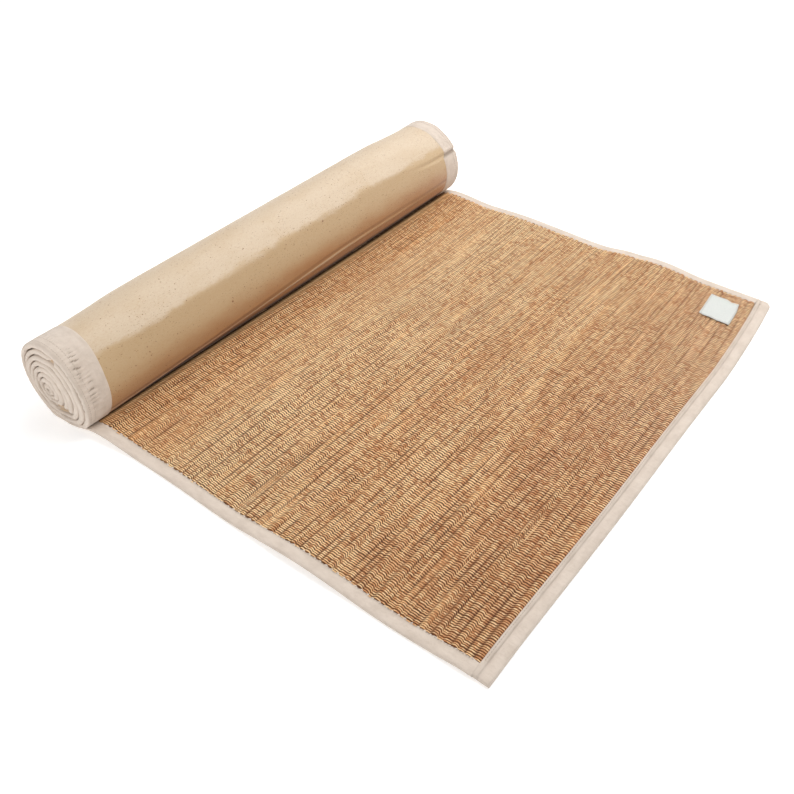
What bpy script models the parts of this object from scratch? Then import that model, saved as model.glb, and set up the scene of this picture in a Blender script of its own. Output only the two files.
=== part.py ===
"""A straw yoga mat, two thirds rolled up and one end laid out flat.

The mat lies along X: the roll at the left, the loose end running to +X under it.
Its width lies along Y, and the floor is z = 0. The roll's axis is X = 0 in the mat's
own measure, and the near long edge is Y = 0; an empty then centres the whole mat.
"""
import bisect
from math import ceil, cos, hypot, pi, sin, sqrt

import bmesh
import bpy

MM = 0.001
MERGE = 0.01 * MM

# Cloth and straw thicknesses
GAP = 0.3 * MM
BACKING = 1.0 * MM
STRAW_BASE = 2.0 * MM
RIB_RISE = 0.75 * MM
BINDING = 3.4 * MM
LABEL_THICK = 1.0 * MM
STRAW_Z = BACKING + GAP
STRAW_TOP = STRAW_Z + STRAW_BASE + RIB_RISE
SHEET_CLEAR = STRAW_TOP + GAP

# Mat and loose end
MAT_LENGTH = 488.3 * MM
SHEET_START = 4.8 * MM
NEAR_TAPE = 14.0 * MM
FAR_TAPE = 13.0 * MM
FRONT_TAPE = 15.0 * MM
CORNER_ROUND = 9.0 * MM
CENTRE_X = 218.8 * MM
CENTRE_Y = 301.7 * MM

# Long edges of the loose end: how far from the roll's axis, near edge, far edge
LONG_EDGES = [
    (0.0, -4.5, 603.4),
    (50.0, -0.8, 606.2),
    (94.0, 1.6, 608.2),
    (150.0, 1.2, 610.0),
    (218.0, -1.1, 608.6),
    (257.0, -1.1, 606.8),
    (300.0, -1.0, 609.6),
    (345.0, -1.1, 610.2),
    (400.0, -1.7, 610.0),
    (440.0, -0.7, 608.8),
    (488.0, 0.3, 608.0),
]

# Front edge: place along the width, distance from the roll's axis
FRONT_EDGE = [
    (-10.0, 488.3),
    (50.0, 487.6),
    (200.0, 488.3),
    (350.0, 487.0),
    (450.0, 486.8),
    (489.0, 485.2),
    (529.0, 482.9),
    (570.0, 479.8),
    (600.0, 476.8),
    (615.0, 475.0),
]

# Swells of the loose end: middle, half length, height, and edge it fades from
SWELLS = [
    (300.0, 88.0, 4.2, "near"),
    (462.0, 30.0, 1.4, "near"),
    (150.0, 80.0, 1.2, "far"),
    (292.0, 26.0, 1.6, "far"),
    (340.0, 62.0, 4.6, "far"),
]
SWELL_FADE = 90.0 * MM

# Rise in front of the roll, where the sheet leaves it
RISE_START = 6.0 * MM
RISE_CREST = 44.0 * MM
RISE_END = 104.0 * MM
RISE_NEAR = 6.3 * MM
RISE_FAR = 4.9 * MM

# Straw ribs
RIB_PITCH = 6.3 * MM
RIB_STRAY = 0.5 * MM

# Roll
ROLL_NEAR_Y = -5.6 * MM
ROLL_FAR_Y = 601.7 * MM
AXIS_Z_NEAR = 45.9 * MM
AXIS_Z_FAR = 48.0 * MM
AXIS_X_FAR = -2.8 * MM
FAR_GROWTH = 0.029
STEP_X = 4.5 * MM
TAPE_PROUD = 0.4 * MM
NEAR_BAND_Y = 25.0 * MM
FAR_BAND_Y = 573.0 * MM
BAND_LEAN = 0.09
BLEND = 90.0 * MM
BODY_STEPS = 14

# Radius of the roll by angle from straight down, round the back, over the top and
# down the front: at the near end, along the body and at the far end
SECTION = [
    (0, 48.5, 48.5, 48.5),
    (15, 47.2, 47.2, 47.2),
    (30, 45.0, 45.2, 45.0),
    (45, 45.0, 45.4, 45.0),
    (60, 45.7, 46.0, 45.5),
    (75, 46.1, 46.4, 46.0),
    (90, 46.2, 46.8, 46.2),
    (105, 46.2, 47.2, 46.2),
    (120, 46.4, 47.6, 46.0),
    (135, 46.0, 48.8, 45.8),
    (150, 46.0, 49.4, 46.0),
    (165, 46.2, 49.9, 46.0),
    (180, 46.2, 49.3, 44.8),
    (195, 46.4, 48.0, 44.6),
    (210, 45.6, 46.0, 44.2),
    (225, 44.0, 45.2, 44.6),
    (240, 42.9, 44.2, 45.2),
    (255, 43.4, 44.4, 46.2),
    (270, 45.4, 45.8, 47.2),
    (285, 47.6, 47.6, 48.4),
    (300, 49.2, 48.8, 49.2),
    (315, 49.6, 49.4, 49.4),
    (330, 48.6, 48.6, 48.6),
    (345, 47.6, 47.6, 47.6),
    (360, 48.5, 48.5, 48.5),
]

# Pleat of loose backing low on the roll's front: place along the width, angle, height
PLEAT = [
    (30.0, 303.0, 0.0),
    (66.0, 300.0, 0.5),
    (137.0, 293.0, 1.3),
    (208.0, 290.0, 1.7),
    (290.0, 288.0, 1.8),
    (371.0, 290.0, 1.7),
    (476.0, 289.0, 1.3),
    (528.0, 284.0, 0.7),
    (570.0, 282.0, 0.0),
]
PLEAT_HALF = 9.0
PLEAT_HOLLOW = 12.0

# Winding seen on the end faces
TURNS = 7
TURN_SHRINK = 0.122
CORE_X = -13.0 * MM
CORE_Z = 34.0 * MM
LIP_MARGIN = 0.13
GROOVE_MIN = 1.0 * MM
GROOVE_SLOPE = 0.9
TIGHT_PITCH = 3.5 * MM
CORE_DEPTH = 7.0 * MM
CORE_REACH = 20.0 * MM
# How far each turn's bound edge stands out, from the outer turn to the core
TURN_STICK_NEAR = [0.0, -0.9, 0.9, 0.2, 1.2, -0.4, 0.8, 0.0]
TURN_STICK_FAR = [0.0, 0.8, -0.6, 0.6, -0.3, 0.5, -0.8, 0.0]

# Label sewn on the straw: middle, size and how far it is pulled out of square
LABEL_X = 434.0 * MM
LABEL_Y = 558.9 * MM
LABEL_SIZE_X = 35.6 * MM
LABEL_SIZE_Y = 44.8 * MM
LABEL_SHEAR = -3.7 * MM
LABEL_SLOPE = -0.065

COLLECTION = "straw_yoga_mat"
MATERIALS = {
    "straw": ((0.48, 0.27, 0.115), 0.78),
    "backing": ((0.66, 0.55, 0.38), 0.62),
    "tape": ((0.73, 0.62, 0.51), 0.88),
    "label": ((0.80, 0.81, 0.74), 0.7),
}


def smooth(t):
    t = min(max(t, 0.0), 1.0)
    return t * t * (3.0 - 2.0 * t)


def along(table, x, column):
    """Value of a table's column at x, eased between its rows."""
    keys = [row[0] for row in table]
    i = bisect.bisect_right(keys, x) - 1
    if i < 0:
        return table[0][column]
    if i >= len(table) - 1:
        return table[-1][column]
    t = (x - keys[i]) / (keys[i + 1] - keys[i])
    before = table[max(i - 1, 0)][column]
    a = table[i][column]
    b = table[i + 1][column]
    after = table[min(i + 2, len(table) - 1)][column]
    pull = (b - before) / 2.0
    push = (after - a) / 2.0
    return (a * (2 * t ** 3 - 3 * t ** 2 + 1) + pull * (t ** 3 - 2 * t ** 2 + t)
            + b * (3 * t ** 2 - 2 * t ** 3) + push * (t ** 3 - t ** 2))


def near_edge(x):
    return along(LONG_EDGES, x / MM, 1) * MM


def far_edge(x):
    return along(LONG_EDGES, x / MM, 2) * MM


def front_edge(y):
    return along(FRONT_EDGE, y / MM, 1) * MM


def hill(u):
    return 0.5 + 0.5 * cos(pi * u) if abs(u) < 1.0 else 0.0


def lift(x, y):
    """Height of the loose end's underside above the floor."""
    rise = smooth((x - RISE_START) / (RISE_CREST - RISE_START))
    fall = 1.0 - smooth((x - RISE_CREST) / (RISE_END - RISE_CREST))
    share = min(max(y / far_edge(x), 0.0), 1.0)
    height = (RISE_NEAR + (RISE_FAR - RISE_NEAR) * share) * rise * fall
    for middle, half, tall, edge in SWELLS:
        reach = y - near_edge(x) if edge == "near" else far_edge(x) - y
        fade = 1.0 - smooth(reach / SWELL_FADE)
        height += tall * MM * hill((x / MM - middle) / half) * fade
    return height


def pleat_offset(y, angle):
    """The pleat's crest and the hollow just below it."""
    tall = along(PLEAT, y / MM, 2) * MM
    middle = along(PLEAT, y / MM, 1)
    crest = hill((angle - middle) / PLEAT_HALF)
    hollow = hill((angle - middle - PLEAT_HOLLOW) / PLEAT_HALF)
    return tall * (crest - 0.6 * hollow)


def axis_at(y):
    share = (y - ROLL_NEAR_Y) / (ROLL_FAR_Y - ROLL_NEAR_Y)
    share = min(max(share, 0.0), 1.0)
    return AXIS_X_FAR * share, AXIS_Z_NEAR + (AXIS_Z_FAR - AXIS_Z_NEAR) * share, share


def section_point(angle, y, proud=0.0):
    """Point of the roll's outer turn at an angle in degrees from straight down."""
    axis_x, axis_z, share = axis_at(y)
    near_part = 1.0 - smooth((y - NEAR_BAND_Y) / BLEND)
    far_part = 1.0 - smooth((FAR_BAND_Y - y) / BLEND)
    body = along(SECTION, angle, 2)
    radius = body + (along(SECTION, angle, 1) - body) * near_part
    radius += (along(SECTION, angle, 3) - body) * far_part
    radius = radius * MM * (1.0 + FAR_GROWTH * share) + proud + pleat_offset(y, angle)
    turn = angle * pi / 180.0
    x = axis_x - radius * sin(turn)
    z = max(axis_z - radius * cos(turn), 0.0)
    if angle > 180.0 and x > STEP_X - GAP:
        z = max(z, lift(x, y) + SHEET_CLEAR)
    return x, z


def contour_angles():
    """Angles round one turn, closer together over the pleat."""
    wide = [10.0 * i for i in range(1, 27)]
    close = [267.0 + 5.0 * i for i in range(12)]
    return wide + close + [333.0, 342.0, 350.0]


def shrink(point, scale):
    x, z = point
    return CORE_X + (x - CORE_X) * scale, CORE_Z + (z - CORE_Z) * scale


def contour(y, proud=0.0):
    """One turn's outer edge: the bottom, the back, the top, the front and the step."""
    start = (STEP_X, 0.0)
    points = [start]
    for angle in contour_angles():
        points.append(section_point(angle, y, proud))
    points.append(shrink(start, 1.0 - TURN_SHRINK))
    return points


def band_plane(middle, z):
    return middle + BAND_LEAN * (z - AXIS_Z_NEAR)


def material(name):
    colour, rough = MATERIALS[name]
    new = bpy.data.materials.new(name)
    new.use_nodes = True
    shader = new.node_tree.nodes["Principled BSDF"]
    shader.inputs["Base Color"].default_value = (*colour, 1.0)
    shader.inputs["Roughness"].default_value = rough
    shader.inputs["Metallic"].default_value = 0.0
    return new


def add_object(name, bm, slot, home, materials):
    bmesh.ops.recalc_face_normals(bm, faces=bm.faces[:])
    mesh = bpy.data.meshes.new(name)
    bm.to_mesh(mesh)
    bm.free()
    mesh.materials.append(materials[slot])
    mesh.shade_smooth()
    mesh.set_sharp_from_angle(angle=0.6)
    thing = bpy.data.objects.new(name, mesh)
    home["collection"].objects.link(thing)
    thing.parent = home["empty"]
    return thing


def grid(bm, columns, rows):
    """A flat grid whose points are returned as lists, one for each column."""
    bmesh.ops.create_grid(bm, x_segments=columns, y_segments=rows, size=1.0)
    found = [[None] * (rows + 1) for _ in range(columns + 1)]
    for vert in bm.verts:
        i = round((vert.co.x + 1.0) / 2.0 * columns)
        j = round((vert.co.y + 1.0) / 2.0 * rows)
        found[i][j] = vert
    return found


def close_open_ends(bm):
    edges = [edge for edge in bm.edges if edge.is_boundary]
    bmesh.ops.holes_fill(bm, edges=edges, sides=0)


def tube(rings):
    """A grid bent into a closed tube through rings of points, with its ends filled."""
    bm = bmesh.new()
    count = len(rings[0])
    points = grid(bm, len(rings) - 1, count)
    for i, ring in enumerate(rings):
        for j in range(count + 1):
            points[i][j].co = ring[j % count]
    bmesh.ops.remove_doubles(bm, verts=bm.verts[:], dist=MERGE)
    close_open_ends(bm)
    return bm


def slab(xs, ys, place, low, high):
    """A sheet on a grid: place(i, j) gives x and y, low and high its two faces."""
    bm = bmesh.new()
    column = bm.verts.layers.int.new("column")
    points = grid(bm, len(xs) - 1, len(ys) - 1)
    for i, line in enumerate(points):
        for j, vert in enumerate(line):
            x, y = place(xs[i], ys[j])
            vert.co = (x, y, low(x, y, i))
            vert[column] = i
    raised = bmesh.ops.extrude_face_region(bm, geom=bm.faces[:])
    for vert in raised["geom"]:
        if isinstance(vert, bmesh.types.BMVert):
            vert.co.z = high(vert.co.x, vert.co.y, vert[column])
    return bm


def stand_out(turn, share, sample, pitch, sticks):
    """How far a point of the end face stands out: on a lip, in a groove or at the core."""
    if turn == TURNS or (turn == TURNS - 1 and sample == 1.0):
        return -CORE_DEPTH
    if sample == 1.0 or (sample == 0.0 and turn > 0):
        return -(GROOVE_MIN + GROOVE_SLOPE * max(pitch - TIGHT_PITCH, 0.0))
    return (sticks[turn] * (1.0 - share) + sticks[turn + 1] * share) * MM


def end_strip(y_end, outward, sticks):
    """The roll's end face: the bound edge of every turn, wound round the core."""
    outer = contour(y_end, TAPE_PROUD)
    per_turn = len(outer) - 1
    samples = [0.0, LIP_MARGIN, 1.0 - LIP_MARGIN, 1.0]
    bm = bmesh.new()
    points = grid(bm, per_turn * TURNS, len(samples) - 1)
    for k, line in enumerate(points):
        turn, step = divmod(k, per_turn)
        share = step / per_turn
        width = max(min(TURNS - turn - share, 1.0), 0.0)
        pitch = TURN_SHRINK * hypot(outer[step][0] - CORE_X, outer[step][1] - CORE_Z)
        for sample, vert in zip(samples, line):
            x, z = shrink(outer[step], 1.0 - TURN_SHRINK * (turn + sample * width))
            out = stand_out(turn, share, sample, pitch, sticks)
            vert.co = (x, y_end + outward * out, z)
    bmesh.ops.remove_doubles(bm, verts=bm.verts[:], dist=MERGE)
    return bm


def rim_edges(bm):
    """Edges of the end face's outer border, leaving out the core's border."""
    found = []
    for edge in bm.edges:
        middle = (edge.verts[0].co + edge.verts[1].co) / 2.0
        if edge.is_boundary and hypot(middle.x - CORE_X, middle.z - CORE_Z) > CORE_REACH:
            found.append(edge)
    return found


def end_band(y_end, outward, sticks, plane):
    """The wound, cotton-bound end of the roll as one piece with its end face."""
    bm = end_strip(y_end, outward, sticks)
    pulled = bmesh.ops.extrude_edge_only(bm, edges=rim_edges(bm))
    for vert in pulled["geom"]:
        if isinstance(vert, bmesh.types.BMVert):
            vert.co.y = band_plane(plane, vert.co.z)
    close_open_ends(bm)
    return bm


def body_rings():
    """The roll's body between its two bound ends, drawn section by section."""
    inner_near = NEAR_BAND_Y + GAP
    inner_far = FAR_BAND_Y - GAP
    rings = []
    for i in range(BODY_STEPS + 1):
        share = i / BODY_STEPS
        middle = inner_near + (inner_far - inner_near) * share
        lean = abs(2.0 * share - 1.0)
        ring = []
        for x, z in contour(middle):
            ring.append((x, middle + lean * BAND_LEAN * (z - AXIS_Z_NEAR), z))
        rings.append(ring)
    return rings


def binding_profile(width):
    """Across a folded tape, from the mat's outer edge in: distance and height."""
    fold = width - 1.2 * MM
    stitch = width - 3.6 * MM
    return [
        (0.3 * MM, 0.0),
        (0.0, 1.6 * MM),
        (0.9 * MM, 2.9 * MM),
        (stitch - 1.5 * MM, BINDING),
        (stitch, BINDING - 0.5 * MM),
        (fold, BINDING + 0.2 * MM),
        (width, BINDING - 0.4 * MM),
        (width, 0.0),
    ]


def stations(start, end, close_end, fine, coarse):
    """Places along the mat, close together over the rise and wider after it."""
    near = ceil((close_end - start) / fine)
    far = ceil((end - close_end) / coarse)
    places = [start + (close_end - start) * i / near for i in range(near)]
    return places + [close_end + (end - close_end) * i / far for i in range(far + 1)]


def side_binding(edge, inward, width, end):
    rings = []
    for x in stations(SHEET_START, end, RISE_END, 7.5 * MM, 16.0 * MM):
        ring = []
        for across, z in binding_profile(width):
            y = edge(x) + inward * across
            ring.append((x, y, lift(x, y) + z))
        rings.append(ring)
    return tube(rings)


def corner_cut(y, far):
    """How much the rounded far corner takes off the front edge."""
    into = y - (far - CORNER_ROUND)
    if into <= 0.0:
        return 0.0
    return CORNER_ROUND - sqrt(max(CORNER_ROUND ** 2 - into ** 2, 0.0))


def front_binding():
    start = near_edge(MAT_LENGTH)
    end = far_edge(front_edge(600.0 * MM))
    straight = end - CORNER_ROUND
    places = [start + (straight - start) * i / 14 for i in range(15)]
    places += [straight + CORNER_ROUND * s for s in (0.4, 0.7, 0.9, 0.985)]
    rings = []
    for y in places:
        cut = corner_cut(y, end)
        ring = []
        for across, z in binding_profile(FRONT_TAPE):
            kept = 1.0 - cut / FRONT_TAPE
            x = front_edge(y) - FRONT_TAPE + (FRONT_TAPE - across) * kept
            ring.append((x, y, lift(x, y) + z))
        rings.append(ring)
    return tube(rings)


def panel_place(x, share):
    """Place of a point of the straw or its backing, given x and a share of the width."""
    middle = near_edge(x) + (far_edge(x) - near_edge(x)) * share
    end = front_edge(middle) - FRONT_TAPE - GAP
    bend = smooth((x - 330.0 * MM) / (MAT_LENGTH - FRONT_TAPE - GAP - 330.0 * MM))
    moved = x - (MAT_LENGTH - FRONT_TAPE - GAP - end) * bend
    low = near_edge(moved) + NEAR_TAPE + GAP
    high = far_edge(moved) - FAR_TAPE - GAP
    return moved, low + (high - low) * share


def row_shares():
    return [0.0, 0.06, 0.13, 0.25, 0.5, 0.73, 0.86, 0.93, 1.0]


def straw_panel():
    start = SHEET_START
    end = MAT_LENGTH - FRONT_TAPE - GAP
    ribs = round((end - start) / RIB_PITCH)
    half = (end - start) / (2 * ribs)
    xs = [start + half * i for i in range(2 * ribs + 1)]

    def place(x, share):
        inside = min((x - start) / RIB_PITCH, (end - x) / RIB_PITCH, 1.0)
        stray = sin(x * 61.0 + share * 7.0) * 0.6 + sin(x * 23.0 - share * 11.0) * 0.4
        return panel_place(x + RIB_STRAY * stray * max(inside, 0.0), share)

    def low(x, y, i):
        return lift(x, y) + STRAW_Z

    def high(x, y, i):
        crest = RIB_RISE * (0.82 + 0.18 * sin(i * 2.3 + y * 30.0))
        return lift(x, y) + STRAW_Z + STRAW_BASE + (crest if i % 2 else 0.0)

    return slab(xs, row_shares(), place, low, high)


def backing_cloth():
    end = MAT_LENGTH - FRONT_TAPE - GAP
    xs = stations(SHEET_START, end, RISE_END, 7.5 * MM, 16.0 * MM)

    def low(x, y, i):
        return lift(x, y)

    def high(x, y, i):
        return lift(x, y) + BACKING

    return slab(xs, row_shares(), panel_place, low, high)


def label():
    xs = [LABEL_X + LABEL_SIZE_X * (i / 2 - 0.5) for i in range(3)]
    ys = [-0.5, -0.17, 0.17, 0.5]

    def place(x, share):
        tilt = LABEL_SLOPE * (x - LABEL_X)
        return x + LABEL_SHEAR * share, LABEL_Y + LABEL_SIZE_Y * share + tilt

    def low(x, y, i):
        return lift(x, y) + SHEET_CLEAR

    def high(x, y, i):
        return lift(x, y) + SHEET_CLEAR + LABEL_THICK

    return slab(xs, ys, place, low, high)


def clear_scene():
    for thing in list(bpy.data.objects):
        bpy.data.objects.remove(thing, do_unlink=True)


def main():
    clear_scene()
    collection = bpy.data.collections.new(COLLECTION)
    bpy.context.scene.collection.children.link(collection)
    empty = bpy.data.objects.new("mat_frame", None)
    empty.location = (-CENTRE_X, -CENTRE_Y, 0.0)
    collection.objects.link(empty)
    home = {"collection": collection, "empty": empty}
    materials = {name: material(name) for name in MATERIALS}

    side_end = front_edge(0.0) - FRONT_TAPE - GAP
    far_end = front_edge(610.0 * MM) - FRONT_TAPE - GAP
    pieces = [
        ("roll_body", tube(body_rings()), "backing"),
        ("roll_end_near", end_band(ROLL_NEAR_Y, -1.0, TURN_STICK_NEAR, NEAR_BAND_Y), "tape"),
        ("roll_end_far", end_band(ROLL_FAR_Y, 1.0, TURN_STICK_FAR, FAR_BAND_Y), "tape"),
        ("straw_panel", straw_panel(), "straw"),
        ("backing_cloth", backing_cloth(), "backing"),
        ("binding_near", side_binding(near_edge, 1.0, NEAR_TAPE, side_end), "tape"),
        ("binding_far", side_binding(far_edge, -1.0, FAR_TAPE, far_end), "tape"),
        ("binding_front", front_binding(), "tape"),
        ("label", label(), "label"),
    ]
    for name, bm, slot in pieces:
        add_object(name, bm, slot, home, materials)


main()
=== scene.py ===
"""Looks of the rolled straw mat: its wound backing, straw rows, tapes, stitches and label.

The mat's own measure has X = 0 on the roll's axis and Y = 0 on the near long edge.
Finished pieces are moved by (-CENTRE_X, -CENTRE_Y) into the frame of the plain model.
"""

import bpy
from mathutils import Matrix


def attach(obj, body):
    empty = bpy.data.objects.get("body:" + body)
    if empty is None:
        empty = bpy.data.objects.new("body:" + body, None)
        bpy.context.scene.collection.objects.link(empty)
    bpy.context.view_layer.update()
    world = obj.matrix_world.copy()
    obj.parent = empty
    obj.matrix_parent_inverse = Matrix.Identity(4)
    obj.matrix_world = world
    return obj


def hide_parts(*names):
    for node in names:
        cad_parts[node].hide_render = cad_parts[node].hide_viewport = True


bl_info = {
    "name": "Rolled Straw Mat",
    "version": (1, 0, 0),
    "blender": (4, 5, 0),
    "location": "View3D > Sidebar > Straw Mat",
    "description": "Dresses the plain model of a rolled straw mat with cloth, straw and tape",
    "category": "Object",
}
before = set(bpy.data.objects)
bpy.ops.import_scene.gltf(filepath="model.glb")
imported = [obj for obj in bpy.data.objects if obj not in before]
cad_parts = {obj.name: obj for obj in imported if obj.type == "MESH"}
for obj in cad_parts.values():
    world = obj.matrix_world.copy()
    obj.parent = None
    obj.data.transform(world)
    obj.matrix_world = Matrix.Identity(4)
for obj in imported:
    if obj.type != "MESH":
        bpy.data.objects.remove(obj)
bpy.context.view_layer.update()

import bisect
import random
from math import ceil, cos, hypot, pi, radians, sin, sqrt

import bmesh
import bpy
from mathutils import Matrix, Vector

MM = 0.001
MERGE = 0.01 * MM

# Thicknesses of the mat
GAP = 0.3 * MM
BACKING = 1.0 * MM
STRAW_BASE = 2.0 * MM
RIB_RISE = 0.75 * MM
STRAW_Z = BACKING + GAP
STRAW_TOP = STRAW_Z + STRAW_BASE + RIB_RISE
SHEET_CLEAR = STRAW_TOP + GAP

# The mat and its loose end
MAT_LENGTH = 488.3 * MM
SHEET_START = 4.8 * MM
NEAR_TAPE = 14.0 * MM
FAR_TAPE = 13.0 * MM
FRONT_TAPE = 15.0 * MM
CORNER_ROUND = 9.0 * MM
CENTRE_X = 218.8 * MM
CENTRE_Y = 301.7 * MM

# Long edges of the loose end: how far from the roll's axis, near edge, far edge
LONG_EDGES = [
    (0.0, -4.5, 603.4),
    (50.0, -0.8, 606.2),
    (94.0, 1.6, 608.2),
    (150.0, 1.2, 610.0),
    (218.0, -1.1, 608.6),
    (257.0, -1.1, 606.8),
    (300.0, -1.0, 609.6),
    (345.0, -1.1, 610.2),
    (400.0, -1.7, 610.0),
    (440.0, -0.7, 608.8),
    (488.0, 0.3, 608.0),
]

# Front edge: place along the width, distance from the roll's axis
FRONT_EDGE = [
    (-10.0, 488.3),
    (50.0, 487.6),
    (200.0, 488.3),
    (350.0, 487.0),
    (450.0, 486.8),
    (489.0, 485.2),
    (529.0, 482.9),
    (570.0, 479.8),
    (600.0, 476.8),
    (615.0, 475.0),
]

# Swells of the loose end: middle, half length, height, and edge it fades from
SWELLS = [
    (300.0, 88.0, 4.2, "near"),
    (462.0, 30.0, 1.4, "near"),
    (150.0, 80.0, 1.2, "far"),
    (292.0, 26.0, 1.6, "far"),
    (340.0, 62.0, 4.6, "far"),
]
SWELL_FADE = 90.0 * MM

# Rise in front of the roll, where the sheet leaves it
RISE_START = 6.0 * MM
RISE_CREST = 44.0 * MM
RISE_END = 104.0 * MM
RISE_NEAR = 6.3 * MM
RISE_FAR = 4.9 * MM

# Roll
ROLL_NEAR_Y = -5.6 * MM
ROLL_FAR_Y = 601.7 * MM
AXIS_Z_NEAR = 45.9 * MM
AXIS_Z_FAR = 48.0 * MM
AXIS_X_FAR = -2.8 * MM
FAR_GROWTH = 0.029
STEP_X = 4.5 * MM
TAPE_PROUD = 0.4 * MM
NEAR_BAND_Y = 25.0 * MM
FAR_BAND_Y = 573.0 * MM
FAR_EDGE_Y = 580.0 * MM
NEAR_BAND_LEAN = 0.09
FAR_BAND_LEAN = -0.04
BLEND = 90.0 * MM

# Radius of the roll by angle from straight down, round the back, over the top and
# down the front: at the near end, along the body and at the far end
SECTION = [
    (0, 48.5, 48.5, 48.5),
    (15, 47.2, 47.2, 47.2),
    (30, 45.0, 45.2, 45.0),
    (45, 45.0, 45.4, 45.0),
    (60, 45.7, 46.0, 45.5),
    (75, 46.1, 46.4, 46.0),
    (90, 46.2, 46.8, 46.2),
    (105, 46.2, 47.2, 46.2),
    (120, 46.4, 47.6, 46.0),
    (135, 46.0, 48.8, 45.8),
    (150, 46.0, 49.4, 46.0),
    (165, 46.2, 49.9, 46.0),
    (180, 46.2, 49.3, 44.8),
    (195, 46.4, 48.0, 44.6),
    (210, 45.6, 46.0, 44.2),
    (225, 44.0, 45.2, 44.6),
    (240, 42.9, 44.2, 45.2),
    (255, 43.4, 44.4, 46.2),
    (270, 45.4, 45.8, 47.2),
    (285, 47.6, 47.6, 48.4),
    (300, 49.2, 48.8, 49.2),
    (315, 49.6, 49.4, 49.4),
    (330, 48.6, 48.6, 48.6),
    (345, 47.6, 47.6, 47.6),
    (360, 48.5, 48.5, 48.5),
]

# Pleat of loose backing low on the roll's front: place along the width, angle, height
PLEAT = [
    (30.0, 303.0, 0.0),
    (66.0, 300.0, 0.5),
    (137.0, 293.0, 1.3),
    (208.0, 290.0, 1.7),
    (290.0, 288.0, 1.8),
    (371.0, 290.0, 1.7),
    (476.0, 289.0, 1.3),
    (528.0, 284.0, 0.7),
    (570.0, 282.0, 0.0),
]
PLEAT_HALF = 9.0
PLEAT_HOLLOW = 12.0

# Sharp ridge in the pleat: place along the width, angle
RIDGE = [
    (30.0, 305.0),
    (66.0, 303.0),
    (137.0, 298.5),
    (208.0, 293.5),
    (290.0, 288.5),
    (371.0, 285.5),
    (476.0, 286.5),
    (528.0, 287.0),
    (573.0, 286.0),
]

# Winding
TURNS = 7
TURN_SHRINK = 0.122
CORE_X = -13.0 * MM
CORE_Z = 34.0 * MM
LAST_ANGLE = 350.0
FACET_ANGLE = 227.0
FACET_HALF = 15.0
FACET_SOFT = 0.12
FACET_RISE = 0.95 * MM
RIDGE_SHARE = 0.3
RIDGE_HALF = 3.2
PLEAT_KEPT = 0.55
UNDER_RIDGE = 0.45
RIDGE_TONE = 290.0
PINCH_ANGLE = 243.0
PINCH_HALF = 5.0
PINCH_DEPTH = 2.2 * MM
PINCH_START = 500.0
# Where the inner turns gape at the near end: turn, angle, half width, depth
OPENINGS = [
    (3, 334.0, 29.0, 9.5),
    (4, 337.0, 22.0, 7.0),
    (1, 199.0, 10.0, 3.2),
]
# How much wider the outer turn's bound edge is, by angle, in turns
LIP_SHIFT = [
    (0.0, 0.0),
    (60.0, 0.02),
    (110.0, 0.12),
    (150.0, 0.24),
    (190.0, 0.05),
    (230.0, -0.28),
    (270.0, -0.2),
    (302.0, -0.08),
    (345.0, 0.0),
    (360.0, 0.0),
]
TURN_STICK_NEAR = [0.0, -0.9, 0.9, 0.2, 1.2, -0.4, 0.8, 0.0]
TURN_STICK_FAR = [0.0, 0.8, -0.6, 0.6, -0.3, 0.5, -0.8, 0.0]
LIP_ROUND = 1.9 * MM
JOIN_STEP = 5.0 * MM
INNER_LEG = 14.0 * MM
STITCH_ROWS = (4.0 * MM, 9.5 * MM)
UNDER_LEG = 21.0 * MM
WOUND_LEG = 26.0 * MM
EDGE_BLEND = 30.0
EDGE_ROUND = 1.2 * MM
EDGE_TALL = 2.95 * MM
TAPE_TOP = 3.0 * MM
UNDER_CLEAR = 0.05 * MM
PUCKER_RISE = 0.8 * MM
PUCKER_LOW = -0.22 * MM
PUCKER_FAR = 0.3
CUT_STATION = 400

# How far the backing's edge stays inside the tapes, and how high it lies
BACKING_INSET_LAID = 1.6 * MM
BACKING_INSET_WOUND = 2.4 * MM
BACKING_LIFT = 0.35 * MM
BACKING_STEPS = 108

# Straw rows and their threads
ROW_PITCH = 6.3 * MM
THREAD_PITCH = 2.75 * MM
THREAD_WIDTH = 1.12 * MM
BEND_START = 330.0 * MM
TAPE_OVERLAP = 1.5 * MM
ROW_SWAY = 0.55 * MM
FURROW = 0.4 * MM
THREAD_RISE = 0.22 * MM
THREAD_LOW = 0.05 * MM
THREAD_PINCH = 0.72
THREAD_STEPS = (0.0, 0.18, 0.5, 0.82)
THREAD_END = 608.0 * MM - FAR_TAPE
STRAW_ACROSS = 8
STRAW_STEPS = 98
STRAY_COUNT = 90

# Tone of the straw from the roll to the front edge: place and tone
STRAW_BANDS = [
    (0.0, 0.4),
    (0.165, 0.4),
    (0.19, 1.0),
    (0.24, 1.0),
    (0.3, 0.85),
    (0.42, 0.72),
    (0.55, 0.65),
    (0.6, 0.45),
    (0.65, 0.45),
    (0.71, 0.7),
    (0.77, 0.55),
    (0.83, 0.35),
    (0.92, 0.12),
    (1.0, 0.0),
]

# Tone of the straw: the middle of its noises, how far they are spread, the level they get
TONE_MIDDLE = 1.35
TONE_SPREAD = 2.1
TONE_LEVEL = 0.62
FURROW_START = 0.45

# Places along the straw in the finished frame: the ends of its bands of tone, the roll's
# front, the end of the redder straw in front of it, and the pale belt past that
BANDS_START = -0.22
BANDS_END = 0.26
ROLL_FOOT = -0.2
WARM_END = -0.139
BELT_FADE = -0.102
BELT_END = -0.06
# Where the painted shadow of the roll's foot lies on the straw
CONTACT_SHADOW_START = ROLL_FOOT + 0.0128
CONTACT_SHADOW_END = ROLL_FOOT + 0.0162

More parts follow.
